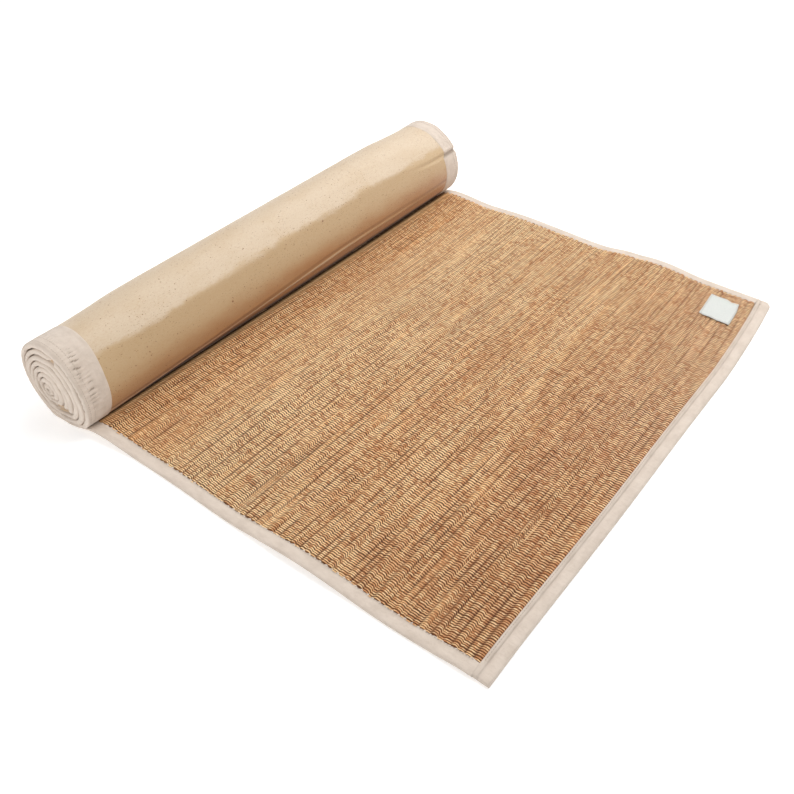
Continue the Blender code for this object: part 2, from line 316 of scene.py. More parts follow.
# Label sewn on the straw
LABEL_X = 434.0 * MM
LABEL_Y = 558.9 * MM
LABEL_SIZE_X = 35.6 * MM
LABEL_SIZE_Y = 44.8 * MM
LABEL_SHEAR = -3.7 * MM
LABEL_SLOPE = -0.065
LABEL_THICK = 0.35 * MM
LABEL_RIM = 0.46

# Stitches: their thickness, their pitch in mm or in degrees round the roll, and the row along
# the front tape
STITCH_WIDE = 0.62 * MM
STITCH_PITCH = 2.8 * MM
STITCH_TURN = 3.1
FRONT_STITCH = 13.9 * MM
FRONT_STITCH_Z = 3.95 * MM

# Distance between the threads in each cloth and between the turns of the sewing thread, mm
BACKING_WEAVE = 0.7
TAPE_WEAVE = 0.8
LABEL_WEAVE = 0.6
THREAD_TWIST = 0.5

# Specks in the backing: how close together, size in mm, share that shows, strength
SPECKS = [
    (0.55, 0.5, 0.55, 0.7),
    (0.2, 0.85, 0.55, 0.8),
    (0.04, 1.5, 0.55, 0.9),
]


def smooth(t):
    t = min(max(t, 0.0), 1.0)
    return t * t * (3.0 - 2.0 * t)


def along(table, x, column):
    """Value of a table's column at x, eased between its rows."""
    keys = [row[0] for row in table]
    i = bisect.bisect_right(keys, x) - 1
    if i < 0:
        return table[0][column]
    if i >= len(table) - 1:
        return table[-1][column]
    t = (x - keys[i]) / (keys[i + 1] - keys[i])
    before = table[max(i - 1, 0)][column]
    a = table[i][column]
    b = table[i + 1][column]
    after = table[min(i + 2, len(table) - 1)][column]
    pull = (b - before) / 2.0
    push = (after - a) / 2.0
    return (a * (2 * t ** 3 - 3 * t ** 2 + 1) + pull * (t ** 3 - 2 * t ** 2 + t)
            + b * (3 * t ** 2 - 2 * t ** 3) + push * (t ** 3 - t ** 2))


def near_edge(x):
    return along(LONG_EDGES, x / MM, 1) * MM


def far_edge(x):
    return along(LONG_EDGES, x / MM, 2) * MM


def front_edge(y):
    return along(FRONT_EDGE, y / MM, 1) * MM


def hill(u):
    return 0.5 + 0.5 * cos(pi * u) if abs(u) < 1.0 else 0.0


def lift(x, y):
    """Height of the loose end's underside above the floor."""
    rise = smooth((x - RISE_START) / (RISE_CREST - RISE_START))
    fall = 1.0 - smooth((x - RISE_CREST) / (RISE_END - RISE_CREST))
    far = far_edge(x)
    share = min(max(y / far, 0.0), 1.0)
    height = (RISE_NEAR + (RISE_FAR - RISE_NEAR) * share) * rise * fall
    for middle, half, tall, edge in SWELLS:
        swell = hill((x / MM - middle) / half)
        if swell > 0.0:
            reach = y - near_edge(x) if edge == "near" else far - y
            height += tall * MM * swell * (1.0 - smooth(reach / SWELL_FADE))
    return height


def wander(x, y, scale):
    """Slow uneven wave between -1 and 1."""
    return (0.5 * sin(x * scale + 1.7 * sin(y * scale * 0.61 + 0.4))
            + 0.3 * sin(y * scale * 1.37 - x * scale * 0.53 + 2.1)
            + 0.2 * sin(x * scale * 2.3 + y * scale * 0.9 + 4.0))


def pleat_offset(y, angle):
    """The pleat's crest and the hollow just below it."""
    tall = along(PLEAT, y / MM, 2) * MM
    middle = along(PLEAT, y / MM, 1)
    crest = hill((angle - middle) / PLEAT_HALF)
    hollow = hill((angle - middle - PLEAT_HOLLOW) / PLEAT_HALF)
    return PLEAT_KEPT * tall * (crest - 0.6 * hollow)


def axis_at(y):
    share = (y - ROLL_NEAR_Y) / (ROLL_FAR_Y - ROLL_NEAR_Y)
    share = min(max(share, 0.0), 1.0)
    return AXIS_X_FAR * share, AXIS_Z_NEAR + (AXIS_Z_FAR - AXIS_Z_NEAR) * share, share


def section_point(angle, y, proud=0.0):
    """Point of the roll's outer turn at an angle in degrees from straight down."""
    axis_x, axis_z, share = axis_at(y)
    near_part = 1.0 - smooth((y - NEAR_BAND_Y) / BLEND)
    far_part = 1.0 - smooth((FAR_BAND_Y - y) / BLEND)
    body = along(SECTION, angle, 2)
    radius = body + (along(SECTION, angle, 1) - body) * near_part
    radius += (along(SECTION, angle, 3) - body) * far_part
    radius = radius * MM * (1.0 + FAR_GROWTH * share) + proud + pleat_offset(y, angle)
    turn = angle * pi / 180.0
    x = axis_x - radius * sin(turn)
    z = max(axis_z - radius * cos(turn), 0.0)
    if angle > 180.0 and x > STEP_X - GAP:
        z = max(z, lift(x, y) + SHEET_CLEAR)
    return x, z


def shrink(point, scale):
    x, z = point
    return CORE_X + (x - CORE_X) * scale, CORE_Z + (z - CORE_Z) * scale


def wound_point(turn, angle, y, proud=0.0, depth=0.0):
    """Point of the wound mat: its turn, the angle round it and how deep in its thickness."""
    if angle <= 0.0:
        point = (STEP_X, 0.0)
    elif angle > LAST_ANGLE:
        t = (angle - LAST_ANGLE) / (360.0 - LAST_ANGLE)
        a = section_point(LAST_ANGLE, y, proud)
        b = shrink((STEP_X, 0.0), 1.0 - TURN_SHRINK)
        point = (a[0] + (b[0] - a[0]) * t, a[1] + (b[1] - a[1]) * t)
    else:
        first = section_point(angle, y, proud)
        t = smooth(angle / 12.0)
        point = (STEP_X * (1.0 - t) + first[0] * t if angle < 12.0 else first[0], first[1])
    return shrink(point, 1.0 - TURN_SHRINK * (turn + depth))


def band_edge(side, z):
    """Where a long tape's edge runs on the roll, at a height over the floor."""
    if side > 0:
        return NEAR_BAND_Y + NEAR_BAND_LEAN * (z - AXIS_Z_NEAR)
    return FAR_EDGE_Y + FAR_BAND_LEAN * (z - AXIS_Z_FAR)


def grid(bm, columns, rows):
    """A flat grid whose points are returned as lists, one for each column."""
    bmesh.ops.create_grid(bm, x_segments=columns, y_segments=rows, size=1.0)
    found = [[None] * (rows + 1) for _ in range(columns + 1)]
    for vert in bm.verts:
        i = round((vert.co.x + 1.0) / 2.0 * columns)
        j = round((vert.co.y + 1.0) / 2.0 * rows)
        found[i][j] = vert
    return found


def bend_grid(columns, rows, place):
    """A grid bent into shape: place(i, j) gives the point and its place in the weave."""
    bm = bmesh.new()
    weave = bm.verts.layers.float_vector.new("weave")
    points = grid(bm, columns, rows)
    for i, line in enumerate(points):
        for j, vert in enumerate(line):
            co, mark = place(i, j)
            vert[weave] = mark
            vert.co = co
    return bm


def stations(start, end, step):
    count = max(1, ceil(abs(end - start) / step))
    return [start + (end - start) * i / count for i in range(count + 1)]


def finish_piece(name, bm, surface, outward=None, replaces=()):
    """Moves the mesh to its place, names it, and lets it ride on the mat."""
    bmesh.ops.remove_doubles(bm, verts=bm.verts[:], dist=MERGE)
    bmesh.ops.translate(bm, verts=bm.verts[:], vec=(-CENTRE_X, -CENTRE_Y, 0.0))
    bmesh.ops.recalc_face_normals(bm, faces=bm.faces[:])
    if outward is not None:
        bm.faces.ensure_lookup_table()
        best = max(bm.faces, key=lambda face: face.calc_center_median().dot(outward))
        if best.normal.dot(outward) < 0.0:
            bmesh.ops.reverse_faces(bm, faces=bm.faces[:])
    mesh = bpy.data.meshes.new(name)
    bm.to_mesh(mesh)
    bm.free()
    mesh.materials.append(surface)
    mesh.shade_smooth()
    thing = bpy.data.objects.new(name, mesh)
    bpy.context.scene.collection.objects.link(thing)
    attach(thing, "root")
    if replaces:
        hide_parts(*replaces)
    return thing


def lengths_along(spots):
    """Length run from the first of some (x, z) spots to each of them."""
    runs = [0.0]
    for a, b in zip(spots, spots[1:]):
        runs.append(runs[-1] + hypot(b[0] - a[0], b[1] - a[1]))
    return runs


def cut_between(bm, joins):
    """Deletes the faces that join two threads or stitches, told by their lowest and top mark."""
    weave = bm.verts.layers.float_vector["weave"]
    marks = [(face, [vert[weave].z for vert in face.verts]) for face in bm.faces]
    between = [face for face, found in marks if joins(min(found), max(found))]
    bmesh.ops.delete(bm, geom=between, context="FACES")


def cloth_turns(steps, inner_step):
    """Turn and angle of every station of the wound cloth, from the floor to the core."""
    places = []
    angle = 0.0
    for until, step in steps:
        while angle < until - 0.01:
            places.append((0, angle))
            angle += step
    for turn in range(1, TURNS + 1):
        count = round(360.0 / inner_step)
        places += [(turn, 360.0 * i / count) for i in range(count)]
    return places


def cusp(u, power=1.3):
    """A sharp ridge with hollow sides."""
    return (1.0 - abs(u)) ** power if abs(u) < 1.0 else 0.0


def fold_offset(angle, y):
    """Folds of the outer turn: the facet line, the pleat's ridge and the far pinch."""
    mm = y / MM
    line = FACET_ANGLE + 1.6 * sin(mm * 0.011 + 0.7) + 0.7 * sin(mm * 0.037)
    line += (PINCH_ANGLE - 3.0 - line) * smooth((mm - 450.0) / 115.0)
    across = hypot((angle - line) / FACET_HALF, FACET_SOFT)
    offset = FACET_RISE * cusp(across) * smooth((mm - 20.0) / 60.0)
    tall = along(PLEAT, mm, 2) * MM
    middle = along(RIDGE, mm, 1)
    offset += RIDGE_SHARE * tall * cusp((angle - middle) / RIDGE_HALF, 1.1)
    offset -= UNDER_RIDGE * tall * hill((angle - middle - 8.0) / 7.0)
    pinch = hill((angle - line - 3.0) / PINCH_HALF)
    offset -= PINCH_DEPTH * pinch * smooth((mm - PINCH_START) / (FAR_BAND_Y / MM - PINCH_START))
    return offset


def backing_point(place, y_share):
    """Point of the backing's outer face, on the roll or under the laid-out end."""
    kind, turn, angle, x = place
    if kind == "flat":
        low = near_edge(x) + BACKING_INSET_LAID
        high = far_edge(x) - BACKING_INSET_LAID
        y = low + (high - low) * y_share
        bend = smooth((x - BEND_START) / (MAT_LENGTH - BEND_START))
        x -= (MAT_LENGTH - front_edge(y) + 6.0 * MM * smooth((y_share - 0.97) / 0.03)) * bend
        return x, y, lift(x, y) + BACKING_LIFT
    low = ROLL_NEAR_Y + BACKING_INSET_WOUND
    high = ROLL_FAR_Y - BACKING_INSET_WOUND
    y = low + (high - low) * y_share
    px, pz = wound_point(turn, angle, y)
    if turn == 0:
        slack = 0.16 * MM * wander(angle * 0.9, y / MM, 0.11) * hill((angle - 190.0) / 150.0)
        axis_x, axis_z, _ = axis_at(y)
        far = hypot(px - axis_x, pz - axis_z)
        grow = (slack + fold_offset(angle, y)) / max(far, 1.0 * MM)
        px += (px - axis_x) * grow
        pz += (pz - axis_z) * grow
    return px, y, max(pz, 0.0)


def build_backing(surface):
    flat_end = MAT_LENGTH - FRONT_TAPE + 5.0 * MM
    places = [("flat", 0, 0.0, x) for x in stations(flat_end, SHEET_START + 1.0 * MM, 5.0 * MM)]
    steps = [(216.0, 3.0), (262.0, 1.5), (318.0, 1.0), (360.0, 3.0)]
    places += [("wound", t, a, 0.0) for t, a in cloth_turns(steps, 9.0)]
    runs = lengths_along([backing_point(place, 0.5)[::2] for place in places])

    def place(i, j):
        x, y, z = backing_point(places[i], j / BACKING_STEPS)
        turn, angle = places[i][1:3]
        ridge = along(RIDGE, y / MM, 1)
        near_ridge = smooth((angle - 250.0) / 30.0) * (1.0 - smooth((angle - ridge - 2.0) / 9.0))
        angle += (RIDGE_TONE - ridge) * near_ridge
        return (x, y, z), (runs[i] / MM, y / MM, angle if turn == 0 else 0.0)

    bm = bend_grid(len(places) - 1, BACKING_STEPS, place)
    thing = finish_piece("backing_sheet", bm, surface, Vector((0.0, 0.0, 1.0)),
                         ("roll_body", "backing_cloth"))
    return thing


def panel_place(x, share):
    """Place of a point of the laid-out straw, given x and a share of the width."""
    end_x = MAT_LENGTH - FRONT_TAPE - GAP
    middle = near_edge(x) + (far_edge(x) - near_edge(x)) * share
    end = front_edge(middle) - FRONT_TAPE - GAP
    bend = smooth((x - BEND_START) / (end_x - BEND_START))
    moved = x - (end_x - end) * bend
    low = near_edge(moved) + NEAR_TAPE - TAPE_OVERLAP
    high = far_edge(moved) - FAR_TAPE + TAPE_OVERLAP
    return moved, low + (high - low) * share


def straw_rows(settings):
    """The straw rows: where each border runs, how high each row is and where it splits."""
    start = SHEET_START
    end = MAT_LENGTH - FRONT_TAPE - GAP
    count = round((end - start) / settings.row_pitch)
    chance = random.Random(5)
    widths = [1.0 + chance.uniform(-0.2, 0.2) for _ in range(count)]
    total = sum(widths)
    borders = []
    place = start
    for k in range(count + 1):
        borders.append((place, chance.uniform(9.0, 17.0), chance.uniform(0.0, 6.3),
                        chance.uniform(24.0, 46.0), chance.uniform(0.0, 6.3)))
        if k < count:
            place += (end - start) * widths[k] / total
    shapes = [(chance.uniform(0.72, 1.0), chance.uniform(0.36, 0.64), 0.5 * chance.random() ** 3,
               chance.uniform(0.0, 6.3)) for _ in range(count)]
    return borders, shapes


def border_at(border, share, free):
    """A row's border at a share of the width; it wanders where it is free."""
    place, wide, wide_phase, short, short_phase = border
    stray = sin(place * 61.0 + share * 7.0) * 0.5 + sin(place * 23.0 - share * 11.0) * 0.35
    stray += 0.5 * sin(share * wide + wide_phase) + 0.22 * sin(share * short + short_phase)
    return place + ROW_SWAY * stray * free


def row_height(shape, u, y):
    """Height of the straw above its backing, across one row (u from 0 to 1)."""
    tall, split, depth, phase = shape
    tall *= 0.86 + 0.14 * sin(y * 23.0 + phase) + 0.08 * sin(y * 61.0 - phase)
    round_top = 0.35 * (1.0 - abs(2.0 * u - 1.0) ** 2.2) + 0.65 * hill(2.0 * u - 1.0)
    dent = depth * hill((u - split) / 0.16) * (0.5 + 0.5 * sin(y * 17.0 + phase * 2.0))
    return STRAW_BASE - FURROW + (RIB_RISE + FURROW) * tall * max(round_top - dent, 0.0)


def straw_point(rows, k, u, share):
    """Point of the straw's upper face: in row k, at u across it, at a share of the width."""
    borders, shapes = rows
    free = smooth(min(k, len(shapes) - 1 - k) / 2.0)
    a = border_at(borders[k], share, free if k else 0.0)
    b = border_at(borders[k + 1], share, free if k < len(shapes) - 1 else 0.0)
    px, py = panel_place(a + (b - a) * u, share)
    return px, py, lift(px, py) + STRAW_Z + row_height(shapes[k], u, py)


def build_straw(settings, surface):
    """The laid-out straw with its rows, open below, turned down at its borders."""
    rows = straw_rows(settings)
    row_count = len(rows[1])

    def place(i, j):
        k = min(i // STRAW_ACROSS, row_count - 1)
        u = i / STRAW_ACROSS - k
        share = min(max((j - 1) / (STRAW_STEPS - 2), 0.0), 1.0)
        px, py, z = straw_point(rows, k, u, share)
        if j in (0, STRAW_STEPS):
            z = lift(px, py) + BACKING
        return (px, py, z), (k + u, py / MM, 0.0)

    bm = bend_grid(row_count * STRAW_ACROSS, STRAW_STEPS, place)
    return finish_piece("straw_weave", bm, surface, Vector((0.0, 0.0, 1.0)),
                        ("straw_panel",))


def build_threads(settings, surface):
    """Fine threads tying the straw, each crossing every row over its top."""
    rows = straw_rows(settings)
    row_count = len(rows[1])
    reach = THREAD_END - NEAR_TAPE
    lines = int(reach / settings.thread_pitch)
    count = row_count * len(THREAD_STEPS)
    chance = random.Random(3)
    threads = [(chance.uniform(0.0, 6.3), chance.uniform(-0.03, 0.03), chance.uniform(0.94, 1.06))
               for _ in range(lines)]
    shifts = [(chance.uniform(-0.45, 0.45), chance.uniform(14.0, 40.0), chance.uniform(0.0, 6.3))
              for _ in range(row_count)]

    def spread(t):
        """Share of the width at a share of the threads; they lie closer at the near edge."""
        return 1.044 * t - 0.044 * (1.0 - (1.0 - t) ** 6)

    def shift(k, share):
        """How far the threads have moved along a row, in pitches."""
        by, wide, wave = shifts[k]
        return by + 0.3 * sin(share * wide + wave)

    def place(i, j):
        k = min(i // len(THREAD_STEPS), row_count - 1)
        u = THREAD_STEPS[i % len(THREAD_STEPS)] if i < count else 1.0
        line, side = divmod(j, 2)
        phase, off, wide = threads[line]
        share = spread((line + 0.5 + off) / lines) + 0.0004 * sin(k * 0.37 + phase)
        half = 0.5 * wide * settings.thread_width * (1.0 + 0.3 * smooth(share * 3.5)) / reach
        if u in (0.0, 1.0):
            half *= THREAD_PINCH
            share += 0.5 * (shift(max(k - 1, 0), share) + shift(k, share)) / lines
        else:
            share += shift(k, share) / lines
        share += half if side else -half
        px, py, z = straw_point(rows, k, u, share)
        z += THREAD_RISE if 0.0 < u < 1.0 else THREAD_LOW
        return (px, py, z), (k + u, py / MM, line + 0.5 * side)

    bm = bend_grid(count, 2 * lines - 1, place)
    cut_between(bm, lambda low_mark, top: top % 1.0 < 0.25 and top > low_mark + 0.25)
    return finish_piece("cross_threads", bm, surface, Vector((0.0, 0.0, 1.0)))


def build_strays(settings, surface):
    """Loose ends of pale straw that stand a little off the rows."""
    rows = straw_rows(settings)
    row_count = len(rows[1])
    chance = random.Random(21)
    bm = bmesh.new()
    weave = bm.verts.layers.float_vector.new("weave")
    for _ in range(STRAY_COUNT):
        k = chance.randrange(1, row_count - 1)
        u = chance.uniform(0.25, 0.75)
        share = chance.uniform(0.04, 0.93)
        length = chance.uniform(12.0, 44.0) * MM
        lean = chance.uniform(-0.5, 0.5)
        a = Vector(straw_point(rows, k, u, share))
        b = Vector(straw_point(rows, k, min(max(u + lean, 0.2), 0.8), share + length / 0.58))
        a.z += 0.15 * MM
        b.z += chance.uniform(0.1, 0.8) * MM
        way = b - a
        size = chance.uniform(0.22, 0.36) * MM
        turned = way.to_track_quat("Z", "Y").to_matrix().to_4x4()
        made = bmesh.ops.create_cone(bm, cap_ends=True, segments=6, radius1=size,
                                     radius2=size * 0.55, depth=way.length,
                                     matrix=Matrix.Translation((a + b) / 2.0) @ turned)
        tone = chance.uniform(0.0, 1.0)
        for vert in made["verts"]:
            vert[weave] = (tone * 50.0, vert.co.y / MM, tone)
    return finish_piece("stray_straws", bm, surface)


def opening(turn, angle):
    """How far the bound edge of a turn has slipped inward."""
    return sum(depth * MM * hill((angle - middle) / half)
               for at, middle, half, depth in OPENINGS if at == turn)


def build_wound_straw(settings, surface):
    """The straw inside the roll, wound with the backing outside it."""
    places = cloth_turns([(360.0, 6.0)], 6.0)
    rows = 24
    runs = lengths_along([wound_point(turn, angle, 0.3) for turn, angle in places])

    def place(i, j):
        turn, angle = places[i]
        low = ROLL_NEAR_Y + (6.0 - 5.2 * smooth(opening(turn, angle) / (2.0 * MM))) * MM
        y = low + (ROLL_FAR_Y - 6.0 * MM - low) * j / rows
        depth = 0.45 if turn < TURNS else 0.2
        x, z = wound_point(turn, angle, y, 0.0, depth)
        return (x, y, z), (runs[i] / settings.row_pitch, y / MM, 0.95)

    bm = bend_grid(len(places) - 1, rows, place)
    thing = finish_piece("straw_wound", bm, surface)
    return thing


def lip_place(turn, angle):
    """Where a turn's bound edge starts, in turns from the outer one."""
    if turn < 1:
        return 0.0
    return turn + along(LIP_SHIFT, angle, 1) * max(1.0 - (turn - 1) / 6.0, 0.0)


def tape_stations(end_x):
    """Stations of a long tape: along the laid-out edge, then round the roll to its core."""
    places = [("flat", 0, 0.0, x) for x in stations(end_x, SHEET_START + 0.5 * MM, 1.6 * MM)]
    for turn in range(TURNS + 1):
        step = 1.0 if turn == 0 else (2.0 if turn < 4 else 4.0)
        count = round(360.0 / step)
        places += [("wound", turn, 360.0 * i / count, 0.0) for i in range(count)]
    return places


# Across a long tape: leg on the backing side by share of its width, round of the edge by
# angle, leg on the straw side by share of its width
BAND_SHARES = [1.0, 0.965, 0.93, 0.88, 0.8, 0.71, 0.62, 0.54, 0.46, 0.38, 0.3, 0.22, 0.15, 0.09]
ROUND_ANGLES = [12.0, 35.0, 62.0, 90.0, 118.0, 145.0, 168.0]
LEG_SHARES = [0.12, 0.25, 0.4, 0.55, 0.68, 0.78, 0.86, 0.93, 1.0]


def gather(angle, reach):
    """Wave of the gathers, 0 in a crease and 1 on a fold."""
    slow = 0.9 * sin(angle * 0.21)
    return abs(sin(angle * 0.5 + slow + 0.4 * sin(reach / MM * 0.5 + angle * 0.1)))


def pucker(angle, reach):
    """Small gathers across the tape, in a belt a little in from the roll's rim."""
    belt = hill((reach - 12.0 * MM) / (10.0 * MM))
    strong = 0.3 + 0.7 * hill((angle - 238.0) / 66.0)
    wave = 2.0 * gather(angle, reach) - 1.3
    rim_wave = sin(angle * 1.9 + 2.0 * sin(angle * 0.17))
    rows = hill((reach - STITCH_ROWS[0]) / (2.0 * MM)) + hill((reach - STITCH_ROWS[1]) / (2.0 * MM))
    rim_belt = hill((reach - 3.0 * MM) / (4.0 * MM))
    return (PUCKER_RISE * belt * strong * wave + 0.16 * MM * rim_wave * rim_belt
            - 0.2 * MM * min(rows, 1.0))


def tape_shade(place, m, side):
    """How deep a point of a long tape lies in a crease, from 0 to 1, for the painted shade there.
    """
    kind, turn, angle, _ = place
    if kind == "flat" or turn > 0 or m >= len(BAND_SHARES):
        return 0.0
    if side < 0:
        return cusp((angle - PINCH_ANGLE - 1.0) / 5.0, 1.0)
    reach = abs(tape_point(place, m, side)[1] - ROLL_NEAR_Y)
    belt = hill((reach - 13.0 * MM) / (9.0 * MM)) * (0.25 + 0.75 * hill((angle - 236.0) / 55.0))
    patch = 0.5 + 0.5 * sin(angle * 0.13 + reach / MM * 0.35)
    return min(2.3 * belt * patch * max(1.0 - gather(angle, reach) / 0.55, 0.0), 1.0)


def tape_point(place, m, side):
    """Point m across the long tape at a station. side is +1 for the near edge."""
    band = len(BAND_SHARES)
    rounds = len(ROUND_ANGLES)
    if m < band:
        return tape_spot(place, "band", BAND_SHARES[m], 0.0, side)
    if m < band + rounds:
        phi = radians(ROUND_ANGLES[m - band])
        return tape_spot(place, "round", 1.0 - sin(phi), 0.5 - 0.5 * cos(phi), side)
    return tape_spot(place, "straw", LEG_SHARES[m - band - rounds], 1.0, side)


def lip_fill(turn, angle):
    """How much of its turn a lip fills: the turns gape at the back and low in front."""
    gape = 0.17 * hill((angle - 140.0) / 55.0) + 0.14 * hill((angle - 330.0) / 40.0)
    gape -= 0.05 * hill((angle - 60.0) / 50.0)
    if turn == 0:
        ripple = max(sin(angle * 0.74 + sin(angle * 0.3)), 0.0) ** 2
        gape += 0.4 * hill((angle - 270.0) / 70.0) * ripple
    return 0.985 - gape + 0.035 * sin(angle * 0.31 + turn * 2.1) * hill((angle - 190.0) / 130.0)


def tape_spot(place, leg, share, depth, side):
    """Point of a long tape: on its backing side, round its edge or on its straw side."""
    kind, turn, angle, x = place
    if kind == "flat":
        edge = near_edge(x) if side > 0 else far_edge(x)
        width = NEAR_TAPE if side > 0 else FAR_TAPE
        if leg == "band":
            y = edge + side * (EDGE_ROUND + (UNDER_LEG - EDGE_ROUND) * share)
            return x, y, lift(x, y) + UNDER_CLEAR
        if leg == "round":
            y = edge + side * EDGE_ROUND * share
            return x, y, lift(x, y) + UNDER_CLEAR + EDGE_TALL * depth
        across = EDGE_ROUND + (width - EDGE_ROUND) * share
        rib = 0.5 * sin(2.0 * pi * x / ROW_PITCH) + 0.6 * wander(x / MM, side * 4.0, 0.7)
        across += 0.35 * MM * rib * smooth((share - 0.75) / 0.25)
        y = edge + side * across
        crown = 0.35 * MM * hill(share - 0.45) + 0.2 * MM * rib * share
        fold = 0.3 * MM * hill((share - 0.86) / 0.1) - 0.45 * MM * smooth((share - 0.9) / 0.1)
        groove = -0.25 * MM * hill((share - 0.72) / 0.08)
        uneven = 0.1 * MM * wander(x / MM, share * 9.0, 0.35)
        return x, y, lift(x, y) + TAPE_TOP + crown + fold + groove + uneven
    rim = ROLL_NEAR_Y if side > 0 else ROLL_FAR_Y
    sticks = TURN_STICK_NEAR if side > 0 else TURN_STICK_FAR
    start_edge = near_edge(SHEET_START) if side > 0 else far_edge(SHEET_START)
    part = angle / 360.0
    stick = (sticks[min(turn, 7)] * (1.0 - part) + sticks[min(turn + 1, 7)] * part) * MM
    stick += 0.3 * MM * wander(angle * 0.6 + turn * 77.0, turn * 5.0, 0.11)
    stick += 0.13 * MM * sin(angle * (0.9 + 0.13 * turn) + 2.0 * sin(angle * 0.13 + turn))
    if turn > 0:
        stick += 0.55 * MM * wander(angle * 0.5 + turn * 131.0, turn * 17.0, 0.19)
    if side > 0:
        stick -= opening(turn, angle)
    if turn == 0:
        rim = start_edge + (rim - start_edge) * smooth(angle / EDGE_BLEND)
        stick *= smooth(angle / EDGE_BLEND)
    rim = rim - side * stick
    flat_z = wound_point(turn, angle, rim)[1]
    edge = band_edge(side, flat_z)
    if turn > 0:
        edge = rim + side * WOUND_LEG
    start = lip_place(turn, angle)
    fill = lip_fill(turn, angle) * (lip_place(turn + 1, angle) - start)
    if leg == "band":
        y = rim + side * LIP_ROUND + (edge - rim - side * LIP_ROUND) * share
        proud = TAPE_PROUD if share < 0.995 else 0.0
        if turn == 0:
            gathers = max(pucker(angle, abs(y - rim)), PUCKER_LOW)
            proud += (gathers if side > 0 else PUCKER_FAR * gathers) + fold_offset(angle, y)
            if side < 0:
                y += side * JOIN_STEP * smooth((angle - PINCH_ANGLE) / 4.0) * share
        px, pz = wound_point(start, angle, y, proud)
    elif leg == "round":
        y = rim + side * LIP_ROUND * share
        proud = TAPE_PROUD + (fold_offset(angle, y) if turn == 0 else 0.0)
        px, pz = wound_point(start, angle, y, proud, fill * depth)
    else:
        y = rim + side * (LIP_ROUND + (INNER_LEG - LIP_ROUND) * share)
        px, pz = wound_point(start, angle, y, TAPE_PROUD, fill)
    return px, y, max(pz, 0.0)


def build_long_tape(name, side, surface, nodes):
    """A tape folded round a long edge, from the free corner to the roll's core."""
    y_end = 0.0 if side > 0 else 606.0 * MM
    places = tape_stations(front_edge(y_end) - FRONT_TAPE - GAP)
    across = len(BAND_SHARES) + len(ROUND_ANGLES) + len(LEG_SHARES)
    edge = len(BAND_SHARES) + 3
    runs = lengths_along([tape_point(place, edge, side)[::2] for place in places])
    section = [Vector(tape_point(places[CUT_STATION], m, side)) for m in range(across)]
    cuts = [0.0]
    for a, b in zip(section, section[1:]):
        cuts.append(cuts[-1] + (b - a).length)

    def place(i, m):
        # The third mark tells the material where to paint shade in the creases
        crease = tape_shade(places[i], m, side)
        return tape_point(places[i], m, side), (runs[i] / MM, cuts[m] / MM, crease)

    bm = bend_grid(len(places) - 1, across - 1, place)
    outward = Vector((0.0, -side, 0.0))
    thing = finish_piece(name, bm, surface, outward, nodes)
    return thing


def corner_cut(y, far):
    """How much the rounded far corner takes off the front edge."""
    into = y - (far - CORNER_ROUND)
    if into <= 0.0:
        return 0.0
    return CORNER_ROUND - sqrt(max(CORNER_ROUND ** 2 - into ** 2, 0.0))


# Across the front tape, from under the mat, round its edge and back over the straw:
# distance from the edge, height over the straw, height over the near tape
FRONT_PROFILE = [
    (15.0, 0.1, 0.1),
    (8.0, 0.1, 0.1),
    (3.0, 0.1, 0.1),
    (1.2, 0.15, 0.15),
    (0.4, 0.6, 0.6),
    (0.0, 1.5, 1.5),
    (0.3, 2.4, 2.4),
    (1.0, 2.95, 2.95),
    (2.2, 3.2, 3.2),
    (4.5, 3.42, 3.5),
    (7.0, 3.5, 3.6),
    (9.0, 3.45, 3.65),
    (10.2, 3.3, 3.65),
    (10.75, 2.85, 3.6),
    (11.0, 2.65, 3.6),
    (11.3, 2.75, 3.6),
    (11.7, 3.35, 3.62),
    (12.6, 3.75, 3.64),
    (13.8, 3.9, 3.64),
    (15.0, 3.95, 3.62),
    (15.6, 3.8, 3.55),
    (15.9, 3.4, 3.4),
    (15.9, 2.8, 3.0),
]


# Stations of the front tape round the far corner, in shares of the corner's round
CORNER_SHARES = (0.2, 0.4, 0.55, 0.7, 0.8, 0.88, 0.94, 0.98, 0.995)


def build_front_tape(surface):
    """The tape over the free edge, sharp at the near corner and rounded at the far one."""
    start = near_edge(MAT_LENGTH)
    end = far_edge(front_edge(600.0 * MM))
    straight = end - CORNER_ROUND
    places = [start, start + 0.15 * MM, start + 0.5 * MM, start + 1.1 * MM]
    places += stations(start + 2.2 * MM, straight, 4.0 * MM)
    places += [straight + CORNER_ROUND * share for share in CORNER_SHARES]

    def place(i, m):
        y = places[i]
        cut = corner_cut(y, end)
        across, high, on_tape = FRONT_PROFILE[m]
        over = 1.0 - smooth((y - 10.0 * MM) / (5.0 * MM))
        across *= MM
        high = (high + (on_tape - high) * over) * MM
        kept = 1.0 - cut / FRONT_TAPE
        x = front_edge(y) - FRONT_TAPE + (FRONT_TAPE - across) * kept
        squeeze = min(smooth((y - start) / (1.6 * MM)), smooth((end - y) / (2.0 * MM)))
        high = 1.5 * MM + (high - 1.5 * MM) * (0.04 + 0.96 * squeeze)
        ripple = 0.16 * MM * wander(y / MM, m * 1.1, 0.3) if high > 2.0 * MM else 0.0
        z = lift(x, y) + high + ripple
        return (x, y, z), (y / MM, m * 1.6, 0.0)

    bm = bend_grid(len(places) - 1, len(FRONT_PROFILE) - 1, place)
    thing = finish_piece("front_tape", bm, surface, Vector((0.0, 0.0, 1.0)),
                         ("binding_front",))
    return thing


